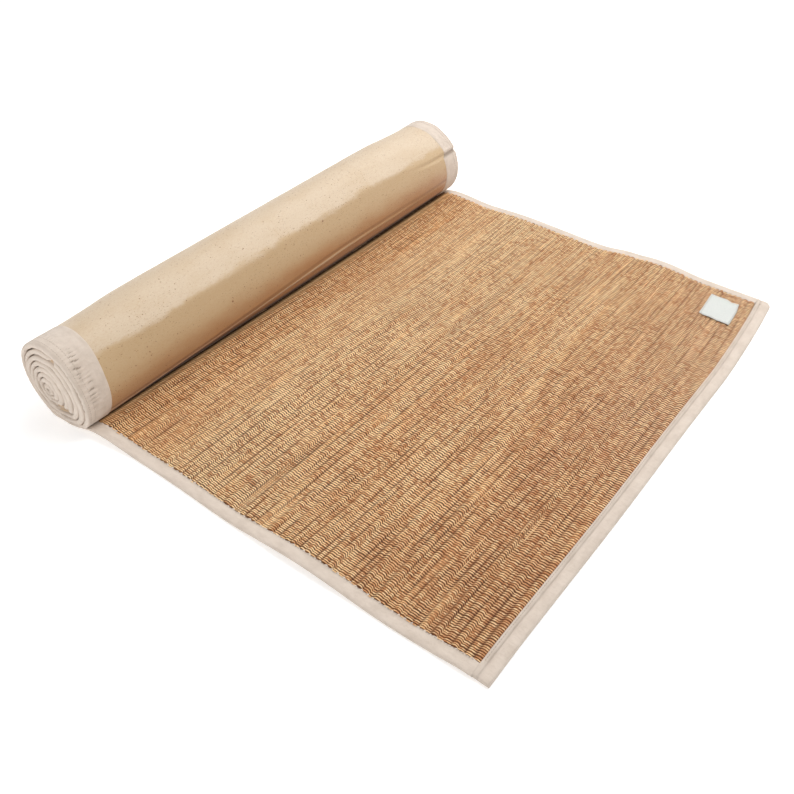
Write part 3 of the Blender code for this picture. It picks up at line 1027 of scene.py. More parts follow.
def label_point(a, b):
    """Point of the label's upper face; a and b run from -0.5 to 0.5 across and along it."""
    x = LABEL_X + LABEL_SIZE_X * a + LABEL_SHEAR * b
    y = LABEL_Y + LABEL_SIZE_Y * b + LABEL_SLOPE * LABEL_SIZE_X * a
    curl = smooth((a + b - 0.6) / 0.4)
    x -= 1.4 * MM * curl
    y -= 2.2 * MM * curl
    y -= 1.1 * MM * hill((a - 0.2) / 0.14) * smooth((b - 0.1) / 0.4)
    z = lift(x, y) + SHEET_CLEAR + 0.45 * MM
    z += 0.5 * MM * wander(a * 40.0 + b * 12.0, b * 30.0, 0.3)
    z += 0.5 * MM * cusp((a * 0.8 - b * 0.5 - 0.12) / 0.12)
    z += 0.9 * MM * curl + 0.8 * MM * smooth((-a - b - 0.7) / 0.3)
    return x, y, z


def build_label(surface):
    """A bare cloth label, slightly wrinkled, one corner lifted."""
    columns = 20
    rows = 30

    def place(i, j):
        a = i / columns - 0.5
        b = j / rows - 0.5
        x, y, z = label_point(a, b)
        return (x, y, z), (x / MM, y / MM, 0.0)

    bm = bend_grid(columns, rows, place)
    bmesh.ops.solidify(bm, geom=bm.faces[:], thickness=LABEL_THICK)
    thing = finish_piece("bare_label", bm, surface, None, ("label",))
    return thing


# Along one stitch: place in its pitch, thickness
STITCH_SHAPE = [
    (0.12, 0.0),
    (0.2, 0.75),
    (0.5, 1.0),
    (0.8, 0.75),
    (0.88, 0.0),
]


def sew(whole, spot, start, end, pitch, outward):
    """Adds a row of stitches along spot(t), from t = start to t = end."""
    count = max(1, round((end - start) / pitch))
    pitch = (end - start) / count
    sides = 6
    centres = [start + pitch * (k + share) for k in range(count) for share, _ in STITCH_SHAPE]
    points = [Vector(spot(t)) for t in centres]

    def place(i, j):
        k = i // len(STITCH_SHAPE)
        first = points[k * len(STITCH_SHAPE)]
        last = points[k * len(STITCH_SHAPE) + len(STITCH_SHAPE) - 1]
        up = Vector(outward(centres[i])).normalized()
        side = up.cross((last - first).normalized()).normalized()
        thick = 0.5 * STITCH_WIDE * STITCH_SHAPE[i % len(STITCH_SHAPE)][1]
        turn = 2.0 * pi * (j % sides) / sides
        co = points[i] + side * thick * cos(turn) + up * 0.8 * thick * sin(turn)
        return co, (co.x / MM, co.y / MM, k)

    row = bend_grid(len(centres) - 1, sides, place)
    cut_between(row, lambda low_mark, top: top > low_mark + 0.5)
    bmesh.ops.remove_doubles(row, verts=row.verts[:], dist=MERGE)
    part = bpy.data.meshes.new("stitch_row")
    row.to_mesh(part)
    row.free()
    whole.from_mesh(part)
    bpy.data.meshes.remove(part)


def build_stitches(surface):
    """Stitches of the tapes and of the label."""
    bm = bmesh.new()

    def round_out(angle):
        return (-sin(radians(angle)), 0.0, -cos(radians(angle)))

    def up(_):
        return (0.0, 0.0, 1.0)

    for side in (1.0, -1.0):
        for reach in STITCH_ROWS:
            share = (reach - LIP_ROUND) / (30.0 * MM)
            sew(bm, lambda a: tape_spot(("wound", 0, a, 0.0), "band", share, 0.0, side),
                EDGE_BLEND, LAST_ANGLE - 4.0, STITCH_TURN, round_out)
        sew(bm, lambda x: tape_spot(("flat", 0, 0.0, x), "straw", 0.84, 1.0, side),
            50.0 * MM, MAT_LENGTH - FRONT_TAPE - 6.0 * MM, STITCH_PITCH, up)

    def front_spot(y):
        x = front_edge(y) - FRONT_STITCH
        return x, y, lift(x, y) + FRONT_STITCH_Z

    sew(bm, front_spot, NEAR_TAPE + 2.0 * MM, 590.0 * MM, STITCH_PITCH, up)
    for rim in (-LABEL_RIM, LABEL_RIM):
        sew(bm, lambda t: label_point(t, rim), -LABEL_RIM, LABEL_RIM, 0.08, up)
    for rim in (-LABEL_RIM, LABEL_RIM):
        sew(bm, lambda t: label_point(rim, t), -LABEL_RIM, LABEL_RIM, 0.055, up)
    return finish_piece("stitches", bm, surface)


def shade(name, base, rough, sheen=0.0, specular=0.3):
    """A new material and the way to add nodes to it."""
    new = bpy.data.materials.new(name)
    new.use_nodes = True
    shader = new.node_tree.nodes["Principled BSDF"]
    shader.inputs["Base Color"].default_value = (*base, 1.0)
    shader.inputs["Roughness"].default_value = rough
    shader.inputs["Metallic"].default_value = 0.0
    shader.inputs["Sheen Weight"].default_value = sheen
    shader.inputs["Sheen Roughness"].default_value = 0.5
    shader.inputs["Specular IOR Level"].default_value = specular
    return new, Nodes(new)


class Nodes:
    """Short ways to add and join the nodes of one material."""

    def __init__(self, material):
        self.tree = material.node_tree
        self.shader = self.tree.nodes["Principled BSDF"]

    def add(self, kind, values=None, **options):
        new = self.tree.nodes.new(kind)
        for key, value in options.items():
            setattr(new, key, value)
        for key, value in (values or {}).items():
            if isinstance(value, bpy.types.NodeSocket):
                self.tree.links.new(value, new.inputs[key])
            else:
                new.inputs[key].default_value = value
        return new

    def math(self, operation, a, b=0.0, clamp=False):
        new = self.add("ShaderNodeMath", {0: a, 1: b}, operation=operation, use_clamp=clamp)
        return new.outputs[0]

    def times(self, a, b):
        return self.math("MULTIPLY", a, b)

    def plus(self, a, b, clamp=False):
        return self.math("ADD", a, b, clamp)

    def minus(self, a, b):
        return self.math("SUBTRACT", a, b)

    def floor(self, value):
        return self.math("FLOOR", value)

    def fract(self, value):
        return self.math("FRACT", value)

    def apart(self, value, middle):
        """How far a value is from a middle."""
        return self.math("ABSOLUTE", self.minus(value, middle))

    def off_middle(self, share):
        """0 in the middle of a share that runs from 0 to 1, and 1 at its ends."""
        return self.apart(self.times(share, 2.0), 1.0)

    def cloth(self, u, v, pitch):
        """Relief of a plain weave, with the distance between its threads in mm."""
        warp = self.math("SINE", self.times(u, 2.0 * pi / pitch))
        weft = self.math("SINE", self.times(v, 2.0 * pi / pitch))
        return self.times(warp, weft)

    def span(self, value, low, high, to_low=0.0, to_high=1.0):
        """Maps low to high smoothly onto to_low to to_high."""
        return self.add("ShaderNodeMapRange",
                        {"Value": value, "From Min": low, "From Max": high,
                         "To Min": to_low, "To Max": to_high},
                        interpolation_type="SMOOTHSTEP").outputs[0]

    def mix(self, amount, a, b):
        """Mixes two colours."""
        new = self.add("ShaderNodeMix", data_type="RGBA")
        for socket, value in ((new.inputs[0], amount), (new.inputs[6], a), (new.inputs[7], b)):
            if isinstance(value, bpy.types.NodeSocket):
                self.tree.links.new(value, socket)
            elif isinstance(value, (int, float)):
                socket.default_value = value
            else:
                socket.default_value = (*value, 1.0)
        return new.outputs[2]

    def join(self, x, y, z=0.0):
        return self.add("ShaderNodeCombineXYZ", {0: x, 1: y, 2: z}).outputs[0]

    def noise(self, vector, scale, detail=2.0, rough=0.5):
        values = {"Vector": vector, "Scale": scale, "Detail": detail, "Roughness": rough}
        return self.add("ShaderNodeTexNoise", values).outputs[0]

    def streaks(self, u, u_scale, v, v_scale, layer, detail, rough=0.5):
        """Noise over two measures, each with a scale of its own. A layer is another noise."""
        spot = self.join(self.times(u, u_scale), self.times(v, v_scale), layer)
        return self.noise(spot, 1.0, detail, rough)

    def parts(self, vector):
        split = self.add("ShaderNodeSeparateXYZ", {0: vector})
        return split.outputs[0], split.outputs[1], split.outputs[2]

    def weave(self):
        return self.add("ShaderNodeAttribute", attribute_name="weave").outputs["Vector"]

    def ramp(self, value, stops):
        new = self.add("ShaderNodeValToRGB", {0: value})
        while len(new.color_ramp.elements) < len(stops):
            new.color_ramp.elements.new(0.5)
        for element, (place, colour) in zip(new.color_ramp.elements, stops):
            element.position = place
            element.color = (*colour, 1.0)
        return new.outputs[0]

    def bump(self, height, distance, strength=1.0):
        values = {"Height": height, "Distance": distance, "Strength": strength}
        return self.add("ShaderNodeBump", values).outputs[0]

    def surface(self, base, relief, rough=None):
        """Gives the shader its colour, its relief and, where it varies, its roughness."""
        self.tree.links.new(base, self.shader.inputs["Base Color"])
        self.tree.links.new(relief, self.shader.inputs["Normal"])
        if rough is not None:
            self.tree.links.new(rough, self.shader.inputs["Roughness"])


def straw_tones(n, colours):
    """Tone of the straw by row and strand, for the straw and for the threads on it.

    Gives the place across the rows and along them, the base colour with its painted light and
    painted shade, its noises by strand and by fleck, how far the painted shade between the threads
    shows, the painted shade of the furrows, and how much of both is left where light is painted
    near the roll.
    """
    rib, mm, _ = n.parts(n.weave())
    row = n.floor(rib)
    strand = n.floor(n.times(rib, 4.0))
    by_strand = n.streaks(strand, 7.31, mm, 0.016, 0.0, 3.0)
    by_row = n.streaks(row, 3.77, mm, 0.008, 9.0, 2.0)
    fleck = n.streaks(rib, 5.0, mm, 0.28, 5.0, 3.0, 0.7)
    x, y, _ = n.parts(n.add("ShaderNodeTexCoord").outputs["Object"])
    bands = [(place, (tone, tone, tone)) for place, tone in STRAW_BANDS]
    band = n.ramp(n.span(x, BANDS_START, BANDS_END), bands)
    tone = n.plus(n.times(by_strand, 0.85), n.times(by_row, 0.8))
    tone = n.plus(tone, n.times(fleck, 0.6))
    tone = n.plus(tone, n.times(band, 0.45))
    tone = n.plus(n.times(n.minus(tone, TONE_MIDDLE), TONE_SPREAD), TONE_LEVEL, clamp=True)
    base = n.ramp(tone, [(0.0, colours.straw_red), (0.35, colours.straw_brown),
                         (0.62, colours.straw_golden), (1.0, colours.straw_pale)])
    ladder = n.span(n.streaks(row, 1.93, mm, 0.009, 2.0, 1.5),
                    0.56, 0.72, 1.0, 0.7)
    # Redder straw in front of the roll; painted light right under it, where the roll shades the
    # straw; painted light that makes the straw paler towards the far side; faded straw farther off
    warm = n.span(x, WARM_END - 0.006, WARM_END + 0.006, 1.0, 0.0)
    # Painted light on the straw right under the roll, where the roll shades it
    close = n.span(x, ROLL_FOOT + 0.017, ROLL_FOOT + 0.029, 1.0, 0.0)
    warmth = n.times(warm, n.span(y, 0.0, 0.25, 0.6, 0.85))
    base = n.mix(warmth, base, colours.straw_warm)
    base = n.mix(n.times(close, 0.8), base, colours.straw_painted_light)
    # Painted light: paler straw towards the far side, standing in for the stronger light there
    cool = n.minus(1.0, warm)
    base = n.mix(n.times(n.span(y, -0.05, 0.3, 0.0, 0.25), cool), base, colours.straw_pale)
    faded = n.times(n.span(x, 0.1, 0.26), n.span(y, -0.15, 0.05, 0.0, 0.35))
    base = n.mix(faded, base, colours.straw_faded)
    # A pale belt past the redder straw
    belt = n.times(n.span(x, WARM_END - 0.004, WARM_END + 0.004),
                   n.span(x, BELT_FADE, BELT_END, 1.0, 0.0))
    belt_depth = n.times(n.span(y, -0.28, -0.1, 0.15, 0.45), n.span(y, 0.05, 0.25, 1.0, 0.5))
    base = n.mix(n.times(belt, belt_depth), base, colours.straw_pale)
    # Less painted shade between the threads and in the furrows under the roll's painted light and
    # on the pale belt
    open_light = n.minus(1.0, n.plus(n.times(close, 0.65), n.times(belt, 0.12)))
    ladder = n.times(ladder, n.times(open_light, n.span(y, 0.0, 0.25, 1.0, 0.94)))
    # Painted shade in the furrows between the rows, broken along their length
    border = n.floor(n.plus(rib, 0.5))
    broken = n.streaks(border, 4.7, mm, 0.014, 7.0, 3.0)
    broken = n.times(n.span(broken, 0.42, 0.64, 0.06, 1.0), n.span(y, -0.24, 0.1, 1.0, 0.6))
    furrow = n.span(n.off_middle(n.fract(rib)), FURROW_START, 1.0)
    dark = n.times(furrow, n.times(broken, open_light))
    # Painted shadow: the dark line where the roll meets the straw
    contact_shadow = n.span(x, CONTACT_SHADOW_START, CONTACT_SHADOW_END, 0.95, 0.0)
    base = n.mix(contact_shadow, base, colours.straw_deep_shade)
    return rib, mm, base, by_strand, fleck, ladder, dark, open_light


def straw_material(colours):
    """The straw rows: tones by strand, painted shade in the gaps between threads and in the
    furrows.
    """
    new, n = shade("straw_rows", colours.straw_golden, 0.65, 0.0, 0.15)
    rib, mm, base, by_strand, fleck, ladder, dark, _ = straw_tones(n, colours)
    wound = n.parts(n.weave())[2]
    strand_in = n.fract(n.times(rib, 4.0))
    laid = n.minus(1.0, wound)
    deep = n.noise(n.join(n.times(n.floor(n.times(rib, 3.0)), 2.71),
                          n.times(mm, 0.035), 1.0), 1.0, 2.0)
    # Painted shade in the gaps between the threads and in the furrows
    gap = n.mix(n.span(deep, 0.42, 0.6), colours.straw_gap_shade, colours.straw_deep_shade)
    base = n.mix(n.times(n.times(ladder, laid), 0.92), base, gap)
    base = n.mix(n.times(n.times(dark, laid), 0.7), base, colours.straw_deep_shade)
    base = n.mix(wound, base, colours.straw_inside)
    arch = n.math("POWER", n.off_middle(strand_in), 2.0)
    height = n.minus(n.times(fleck, 0.7), n.times(arch, 0.5))
    n.surface(base, n.bump(height, 0.35 * MM, 0.8), n.span(by_strand, 0.3, 0.7, 0.7, 0.5))
    return new


def thread_material(colours):
    """The tying threads, each bead of a tone of its own."""
    new, n = shade("tying_thread", colours.thread, 0.7, 0.0, 0.2)
    rib, mm, base, _, fleck, ladder, dark, open_light = straw_tones(n, colours)
    line = n.parts(n.weave())[2]
    side = n.fract(line)
    spot = n.join(n.floor(n.times(rib, 2.0)), n.floor(line), 0.0)
    bead = n.add("ShaderNodeTexWhiteNoise", {"Vector": spot}).outputs["Value"]
    pair = n.join(n.floor(n.times(rib, 1.5)), n.floor(n.times(line, 0.5)), 4.0)
    patch = n.add("ShaderNodeTexWhiteNoise", {"Vector": pair}).outputs["Value"]
    far_part = n.times(n.span(mm, 40.0, 260.0, 0.25, 1.0), open_light)
    base = n.mix(n.times(ladder, 0.3), base, colours.thread)
    base = n.mix(n.times(n.span(bead, 0.6, 1.0, 0.0, 0.8), open_light), base, colours.straw_red)
    base = n.mix(n.times(n.span(bead, 0.5, 0.0, 0.0, 0.7), open_light), base, colours.straw_pale)
    base = n.mix(n.times(n.span(patch, 0.62, 1.0, 0.0, 0.35), far_part), base, colours.straw_red)
    base = n.mix(n.times(n.span(patch, 0.38, 0.0, 0.0, 0.3), far_part), base, colours.straw_pale)
    # Painted shade in the furrows between the rows
    base = n.mix(n.times(dark, 0.75), base, colours.straw_gap_shade)
    across = n.apart(n.times(side, 4.0), 1.0)
    height = n.minus(n.times(fleck, 0.5), n.times(n.math("POWER", across, 2.0), 0.7))
    n.surface(base, n.bump(height, 0.3 * MM, 0.9))
    return new


def stray_material(colours):
    """The loose ends of pale straw."""
    new, n = shade("loose_straw", colours.straw_pale, 0.5, 0.0, 0.4)
    tone, mm, _ = n.parts(n.weave())
    streak = n.noise(n.join(tone, n.times(mm, 0.2)), 1.0, 3.0)
    base = n.mix(n.span(streak, 0.35, 0.7), colours.straw_pale, colours.straw_golden)
    n.surface(base, n.bump(streak, 0.1 * MM, 0.6))
    return new


def backing_material(colours):
    """The cotton backing, with small brown specks: painted shade darkens it below the facet line
    and low on the roll, and a painted highlight runs along the pleat's ridge.
    """
    new, n = shade("unbleached_backing", colours.backing, 0.45, 0.2, 0.5)
    run, mm, angle = n.parts(n.weave())
    place = n.join(run, mm)
    mottle = n.streaks(run, 0.05, mm, 0.02, 0.0, 4.0, 0.6)
    fine = n.streaks(run, 0.8, mm, 0.25, 0.0, 3.0, 0.6)
    # Painted shade: warmer below the facet line and browner towards the foot, where the roll's
    # front is shaded and lit by light bounced from the straw; a real mottle of the warmer tone over
    # all
    edge = n.plus(angle, n.times(n.minus(mottle, 0.5), 30.0))
    base = n.mix(n.span(edge, 221.0, 231.0), colours.backing, colours.backing_warm)
    base = n.mix(n.times(n.span(mottle, 0.4, 0.7), 0.3), base, colours.backing_warm)
    base = n.mix(n.times(n.span(edge, 246.0, 292.0), 0.9), base, colours.backing_shade_and_grain)
    # The pleat: painted shade in the fold above its ridge, a painted highlight along the ridge and
    # painted shade below it
    ridge = n.span(n.apart(angle, RIDGE_TONE), 0.6, 2.4, 0.8, 0.0)
    above = n.span(n.apart(angle, RIDGE_TONE - 4.5), 0.8, 3.5, 0.5, 0.0)
    near_part = n.span(mm, 230.0, 480.0, 1.0, 0.0)
    above = n.times(above, n.span(mm, 230.0, 480.0, 1.5, 1.0))
    base = n.mix(above, base, colours.backing_fold_shade)
    shaded = n.span(angle, RIDGE_TONE + 9.0, RIDGE_TONE + 20.0)
    base = n.mix(n.times(shaded, 0.99), base, colours.backing_shade)
    crest = n.mix(near_part, colours.backing_warm, colours.backing)
    base = n.mix(n.times(ridge, n.span(mm, 300.0, 520.0, 1.0, 0.45)), base, crest)
    # Real grain and fine weave, in the browner tone
    grain = n.streaks(run, 1.1, mm, 0.7, 2.0, 4.0, 0.75)
    base = n.mix(n.times(n.span(fine, 0.45, 0.75), 0.2), base, colours.backing_shade_and_grain)
    base = n.mix(n.times(n.span(grain, 0.48, 0.7), 0.3), base, colours.backing_shade_and_grain)
    crowd = n.span(n.streaks(run, 0.02, mm, 0.011, 3.0, 2.0), 0.4, 0.65)
    for scale, size, share, strength in SPECKS:
        speck = n.add("ShaderNodeTexVoronoi", {"Vector": place, "Scale": scale, "Randomness": 1.0})
        close = n.span(speck.outputs["Distance"], size * scale, size * scale * 0.4)
        limit = n.minus(1.0, n.times(n.plus(crowd, 0.25), share))
        chosen = n.math("GREATER_THAN", n.parts(speck.outputs["Color"])[0], limit)
        base = n.mix(n.times(n.times(close, chosen), strength), base, colours.speck)
    height = n.plus(n.times(n.cloth(run, mm, BACKING_WEAVE), 0.25), n.times(fine, 0.9))
    height = n.plus(height, n.times(mottle, 2.0))
    rough = n.plus(n.span(fine, 0.3, 0.7, 0.4, 0.5), n.times(shaded, 0.5), clamp=True)
    n.surface(base, n.bump(height, 0.22 * MM, 0.7), rough)
    return new


def tape_material(colours):
    """The cream cotton tape, with painted shade in its creases."""
    new, n = shade("cotton_tape", colours.tape, 0.85, 0.2, 0.2)
    run, cut, crease = n.parts(n.weave())
    mottle = n.streaks(run, 0.06, cut, 0.12, 0.0, 4.0, 0.6)
    fine = n.streaks(run, 0.9, cut, 0.9, 0.0, 3.0, 0.6)
    base = n.mix(n.span(mottle, 0.35, 0.72), colours.tape, colours.tape_worn)
    base = n.mix(n.times(n.span(fine, 0.5, 0.8), 0.3), base, colours.tape_worn)
    # Painted shade in the creases and gathers
    base = n.mix(n.span(crease, 0.05, 0.9, 0.0, 0.75), base, colours.tape_crease_shade)
    height = n.plus(n.times(n.cloth(run, cut, TAPE_WEAVE), 0.3), fine)
    wrinkle = n.streaks(run, 0.33, cut, 0.2, 4.0, 2.0)
    height = n.plus(height, n.times(mottle, 1.2))
    height = n.plus(height, n.times(wrinkle, 3.0))
    n.surface(base, n.bump(height, 0.3 * MM, 0.85))
    return new


def label_material(colours):
    """The plain cloth of the label."""
    new, n = shade("label_cloth", colours.label, 0.6, 0.15, 0.3)
    x, y, _ = n.parts(n.weave())
    fine = n.streaks(x, 0.9, y, 0.9, 0.0, 3.0)
    base = n.mix(n.span(fine, 0.35, 0.75), colours.label, colours.label_worn)
    height = n.plus(n.cloth(x, y, LABEL_WEAVE), fine)
    n.surface(base, n.bump(height, 0.12 * MM, 0.7))
    return new


def stitch_material(colours):
    """The twisted sewing thread."""
    new, n = shade("sewing_thread", colours.stitch, 0.7, 0.1, 0.3)
    x, y, _ = n.parts(n.weave())
    fine = n.noise(n.join(x, y), 1.3, 3.0)
    base = n.mix(n.span(fine, 0.35, 0.7), colours.stitch, colours.tape_worn)
    twist = n.math("SINE", n.times(n.plus(x, y), 2.0 * pi / THREAD_TWIST))
    n.surface(base, n.bump(twist, 0.1 * MM, 0.6))
    return new


def floor_material(colours):
    """The pale floor of the stage."""
    new, n = shade("pale_floor", colours.floor, 0.9, 0.0, 0.1)
    n.shader.inputs["Emission Color"].default_value = (1.0, 1.0, 1.0, 1.0)
    n.shader.inputs["Emission Strength"].default_value = 0.3
    return new


def colour_property(name, description, default):
    return bpy.props.FloatVectorProperty(name=name, description=description, default=default,
                                         size=3, min=0.0, max=1.0, subtype="COLOR")


def length_property(name, description, default, low, high):
    return bpy.props.FloatProperty(name=name, description=description, default=default,
                                   min=low, max=high, unit="LENGTH", subtype="DISTANCE")


def angle_property(name, description, default):
    return bpy.props.FloatProperty(name=name, description=description, default=radians(default),
                                   subtype="ANGLE", unit="ROTATION")


def strength_property(name, description, default):
    return bpy.props.FloatProperty(name=name, description=description, default=default, min=0.0)


class StrawMatSizes(bpy.types.PropertyGroup):
    """Sizes of the straw and its threads"""
    row_pitch: length_property("Row pitch", "Mean width of one straw row", ROW_PITCH,
                               4.0 * MM, 12.0 * MM)
    thread_pitch: length_property("Thread pitch", "Distance between the threads that tie the straw",
                                  THREAD_PITCH, 1.0 * MM, 10.0 * MM)
    thread_width: length_property("Thread width", "Width of a tying thread", THREAD_WIDTH,
                                  0.1 * MM, 1.5 * MM)


class StrawMatColours(bpy.types.PropertyGroup):
    """Colours of the mat's cloths and straw"""
    straw_golden: colour_property("Golden straw", "Main colour of the straw", (0.92, 0.53, 0.24))
    straw_pale: colour_property("Pale straw", "Colour of the palest straws", (1.0, 0.71, 0.395))
    straw_brown: colour_property("Brown straw", "Colour of the browner straws", (0.72, 0.35, 0.14))
    straw_red: colour_property("Red straw", "Colour of the reddish straws", (0.54, 0.22, 0.085))
    # Painted shade between the tying threads
    straw_gap_shade: colour_property("Straw between threads", "Colour between the threads",
                               (0.17, 0.055, 0.02))
    # Painted shade in the furrows and where the roll meets the straw
    straw_deep_shade: colour_property("Dark furrow", "Colour in the furrows", (0.09, 0.03, 0.014))
    straw_warm: colour_property("Warm straw", "Straw in front of the roll", (0.9, 0.46, 0.18))
    # Painted light on the straw under the roll, where the roll shades it
    straw_painted_light: colour_property("Straw at the roll", "Straw right under the roll",
                                 (1.0, 0.62, 0.3))
    straw_faded: colour_property("Faded straw", "Straw along the front", (0.95, 0.72, 0.5))
    straw_inside: colour_property("Straw inside", "Straw in the roll's openings",
                                  (0.92, 0.75, 0.56))
    thread: colour_property("Thread", "Colour of the tying threads", (1.0, 0.72, 0.40))
    backing: colour_property("Backing", "Colour of the backing cloth", (0.67, 0.535, 0.38))
    # Painted shade below the facet line, a painted highlight on the pleat's far ridge, and real
    # mottle
    backing_warm: colour_property("Warm backing", "Darker tone of the backing",
                                  (0.57, 0.405, 0.225))
    # Painted shade and painted bounced light low on the roll, and real grain
    backing_shade_and_grain: colour_property("Low backing", "Browner tone low on the roll", (0.45, 0.205, 0.07))
    # Painted shade in the fold above the pleat's ridge
    backing_fold_shade: colour_property("Folded backing", "Tone along the pleat", (0.26, 0.115, 0.035))
    # Painted shade under the pleat
    backing_shade: colour_property("Shaded backing", "Tone under the pleat", (0.025, 0.009, 0.003))
    speck: colour_property("Speck", "Colour of the small specks", (0.22, 0.075, 0.02))
    tape: colour_property("Tape", "Colour of the binding tape", (0.75, 0.64, 0.545))
    tape_worn: colour_property("Worn tape", "Duller tone of the tape", (0.66, 0.555, 0.465))
    # Painted shade in the tape's creases
    tape_crease_shade: colour_property("Creased tape", "Tone in the tape's creases", (0.25, 0.18, 0.13))
    label: colour_property("Label", "Colour of the bare label", (0.76, 0.775, 0.74))
    label_worn: colour_property("Worn label", "Duller tone of the label", (0.62, 0.64, 0.60))
    stitch: colour_property("Stitch", "Colour of the sewing thread", (0.44, 0.35, 0.28))
    floor: colour_property("Floor", "Colour of the floor", (0.97, 0.97, 0.97))


class StrawMatStudio(bpy.types.PropertyGroup):
    """Camera and light"""
    lens: bpy.props.FloatProperty(
        name="Lens", description="Focal length on a 36 mm sensor", default=41.285,
        min=10.0, max=200.0)
    turn: angle_property("Turn", "Camera's turn about the vertical", 37.494)
    tilt: angle_property("Tilt", "Camera's tilt below the horizon", 40.344)
    roll: angle_property("Roll", "Camera's roll about its own line of sight", -0.114)
    place: bpy.props.FloatVectorProperty(
        name="Place", description="Camera's place", default=(0.4407, -0.6340, 0.5931),
        subtype="TRANSLATION", unit="LENGTH")
    key: strength_property("Key light", "Strength of the large light above", 9.5)
    back: strength_property("Back light", "Strength of the light behind the mat", 20.0)
    near: strength_property("Near light", "Strength of the light at the near end", 8.0)
    fill: strength_property("Fill", "Strength of the light from all round", 0.44)


class STRAWMAT_OT_backing(bpy.types.Operator):
    """Build the backing cloth, wound and laid out"""
    bl_idname = "straw_mat.backing"
    bl_label = "Backing cloth"

    def execute(self, context):
        build_backing(backing_material(context.scene.straw_mat_colours))
        return {"FINISHED"}


class STRAWMAT_OT_straw(bpy.types.Operator):
    """Build the straw rows, their tying threads and the straw inside the roll"""
    bl_idname = "straw_mat.straw"
    bl_label = "Straw and threads"

    def execute(self, context):
        sizes = context.scene.straw_mat_sizes
        colours = context.scene.straw_mat_colours
        surface = straw_material(colours)
        straw = build_straw(sizes, surface)
        threads = build_threads(sizes, thread_material(colours))
        strays = build_strays(sizes, stray_material(colours))
        build_wound_straw(sizes, surface)
        return {"FINISHED"}


class STRAWMAT_OT_tapes(bpy.types.Operator):
    """Build the tapes folded round the long edges and the front edge"""
    bl_idname = "straw_mat.tapes"
    bl_label = "Binding tapes"

    def execute(self, context):
        surface = tape_material(context.scene.straw_mat_colours)
        build_long_tape("tape_near", 1.0, surface, ("roll_end_near", "binding_near"))
        build_long_tape("tape_far", -1.0, surface, ("roll_end_far", "binding_far"))
        build_front_tape(surface)
        return {"FINISHED"}


class STRAWMAT_OT_stitches(bpy.types.Operator):
    """Build the stitches of the tapes and the label"""
    bl_idname = "straw_mat.stitches"
    bl_label = "Stitches"

    def execute(self, context):
        build_stitches(stitch_material(context.scene.straw_mat_colours))
        return {"FINISHED"}


class STRAWMAT_OT_label(bpy.types.Operator):
    """Build the bare label"""
    bl_idname = "straw_mat.label"
    bl_label = "Label"

    def execute(self, context):
        build_label(label_material(context.scene.straw_mat_colours))
        return {"FINISHED"}


def area_light(name, place, aim, size, power):
    data = bpy.data.lights.new(name, "AREA")
    data.shape = "RECTANGLE"
    data.size = size[0]
    data.size_y = size[1]
    data.energy = power
    light = bpy.data.objects.new(name, data)
    light.location = place
    light.rotation_euler = (Vector(aim) - Vector(place)).to_track_quat("-Z", "Y").to_euler()
    bpy.context.scene.collection.objects.link(light)


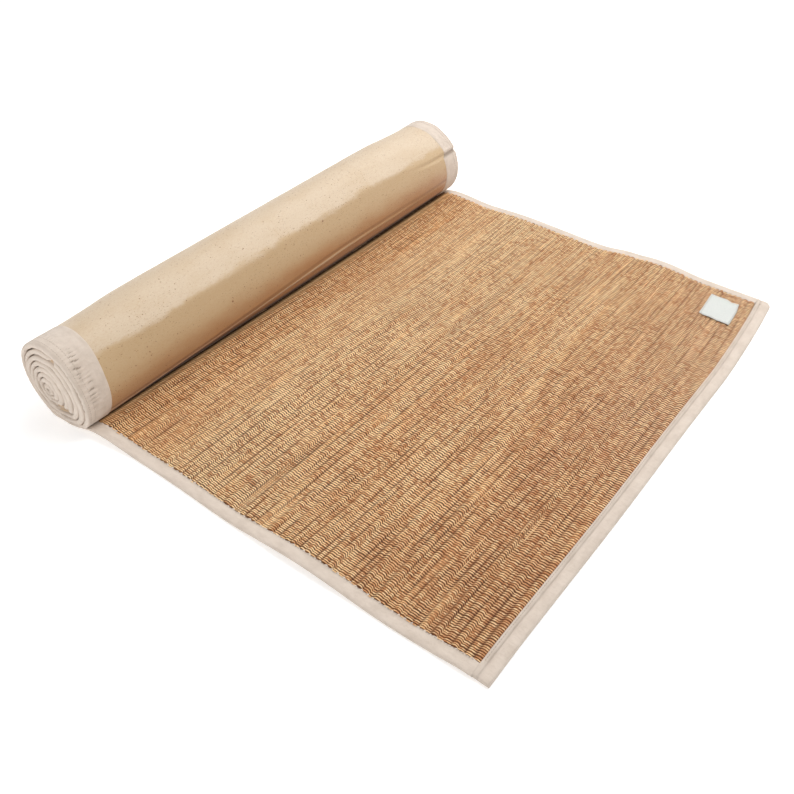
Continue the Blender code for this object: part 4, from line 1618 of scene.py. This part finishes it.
class STRAWMAT_OT_stage(bpy.types.Operator):
    """Set the floor, the light and the camera"""
    bl_idname = "straw_mat.stage"
    bl_label = "Stage"

    def execute(self, context):
        studio = context.scene.straw_mat_studio
        bm = bmesh.new()
        bmesh.ops.create_grid(bm, x_segments=4, y_segments=4, size=6.0)
        bmesh.ops.translate(bm, verts=bm.verts[:], vec=(0.0, 0.0, -0.2 * MM))
        mesh = bpy.data.meshes.new("studio_floor")
        bm.to_mesh(mesh)
        bm.free()
        mesh.materials.append(floor_material(context.scene.straw_mat_colours))
        base = bpy.data.objects.new("studio_floor", mesh)
        context.scene.collection.objects.link(base)
        area_light("key_light", (0.2, 0.42, 1.3), (-0.05, 0.2, 0.0), (0.9, 0.9), studio.key)
        area_light("back_light", (-0.1, 1.55, 1.15), (-0.1, 0.0, 0.1), (2.6, 0.8), studio.back)
        area_light("near_light", (-0.5, -1.5, 0.9), (-0.2, -0.2, 0.0), (1.0, 1.0), studio.near)
        world = bpy.data.worlds.new("studio_light")
        world.use_nodes = True
        world.node_tree.nodes["Background"].inputs[0].default_value = (1.0, 1.0, 1.0, 1.0)
        world.node_tree.nodes["Background"].inputs[1].default_value = studio.fill
        context.scene.world = world
        context.scene.view_settings.view_transform = "Standard"
        data = bpy.data.cameras.new("view_camera")
        data.lens = studio.lens
        data.sensor_width = 36.0
        data.clip_start = 0.01
        camera = bpy.data.objects.new("view_camera", data)
        turned = (Matrix.Rotation(studio.turn, 4, "Z")
                  @ Matrix.Rotation(pi / 2.0 - studio.tilt, 4, "X")
                  @ Matrix.Rotation(studio.roll, 4, "Z"))
        camera.matrix_world = Matrix.Translation(studio.place) @ turned
        context.scene.collection.objects.link(camera)
        context.scene.camera = camera
        return {"FINISHED"}


class STRAWMAT_PT_panel(bpy.types.Panel):
    """Sizes, colours and steps of the straw mat"""
    bl_idname = "STRAWMAT_PT_panel"
    bl_label = "Straw Mat"
    bl_space_type = "VIEW_3D"
    bl_region_type = "UI"
    bl_category = "Straw Mat"

    def draw(self, context):
        for group in (context.scene.straw_mat_sizes, context.scene.straw_mat_colours,
                      context.scene.straw_mat_studio):
            box = self.layout.box()
            for name in group.__annotations__:
                box.prop(group, name)
        for step in STEPS:
            self.layout.operator(step.bl_idname)


STEPS = (STRAWMAT_OT_backing, STRAWMAT_OT_straw, STRAWMAT_OT_tapes, STRAWMAT_OT_label,
         STRAWMAT_OT_stitches, STRAWMAT_OT_stage)
CLASSES = (StrawMatSizes, StrawMatColours, StrawMatStudio, *STEPS, STRAWMAT_PT_panel)


def register():
    for item in CLASSES:
        bpy.utils.register_class(item)
    bpy.types.Scene.straw_mat_sizes = bpy.props.PointerProperty(type=StrawMatSizes)
    bpy.types.Scene.straw_mat_colours = bpy.props.PointerProperty(type=StrawMatColours)
    bpy.types.Scene.straw_mat_studio = bpy.props.PointerProperty(type=StrawMatStudio)


def unregister():
    del bpy.types.Scene.straw_mat_studio
    del bpy.types.Scene.straw_mat_colours
    del bpy.types.Scene.straw_mat_sizes
    for item in reversed(CLASSES):
        bpy.utils.unregister_class(item)


def main():
    register()
    bpy.ops.straw_mat.backing()
    bpy.ops.straw_mat.straw()
    bpy.ops.straw_mat.tapes()
    bpy.ops.straw_mat.label()
    bpy.ops.straw_mat.stitches()
    bpy.ops.straw_mat.stage()


if __name__ == "__main__":
    main()
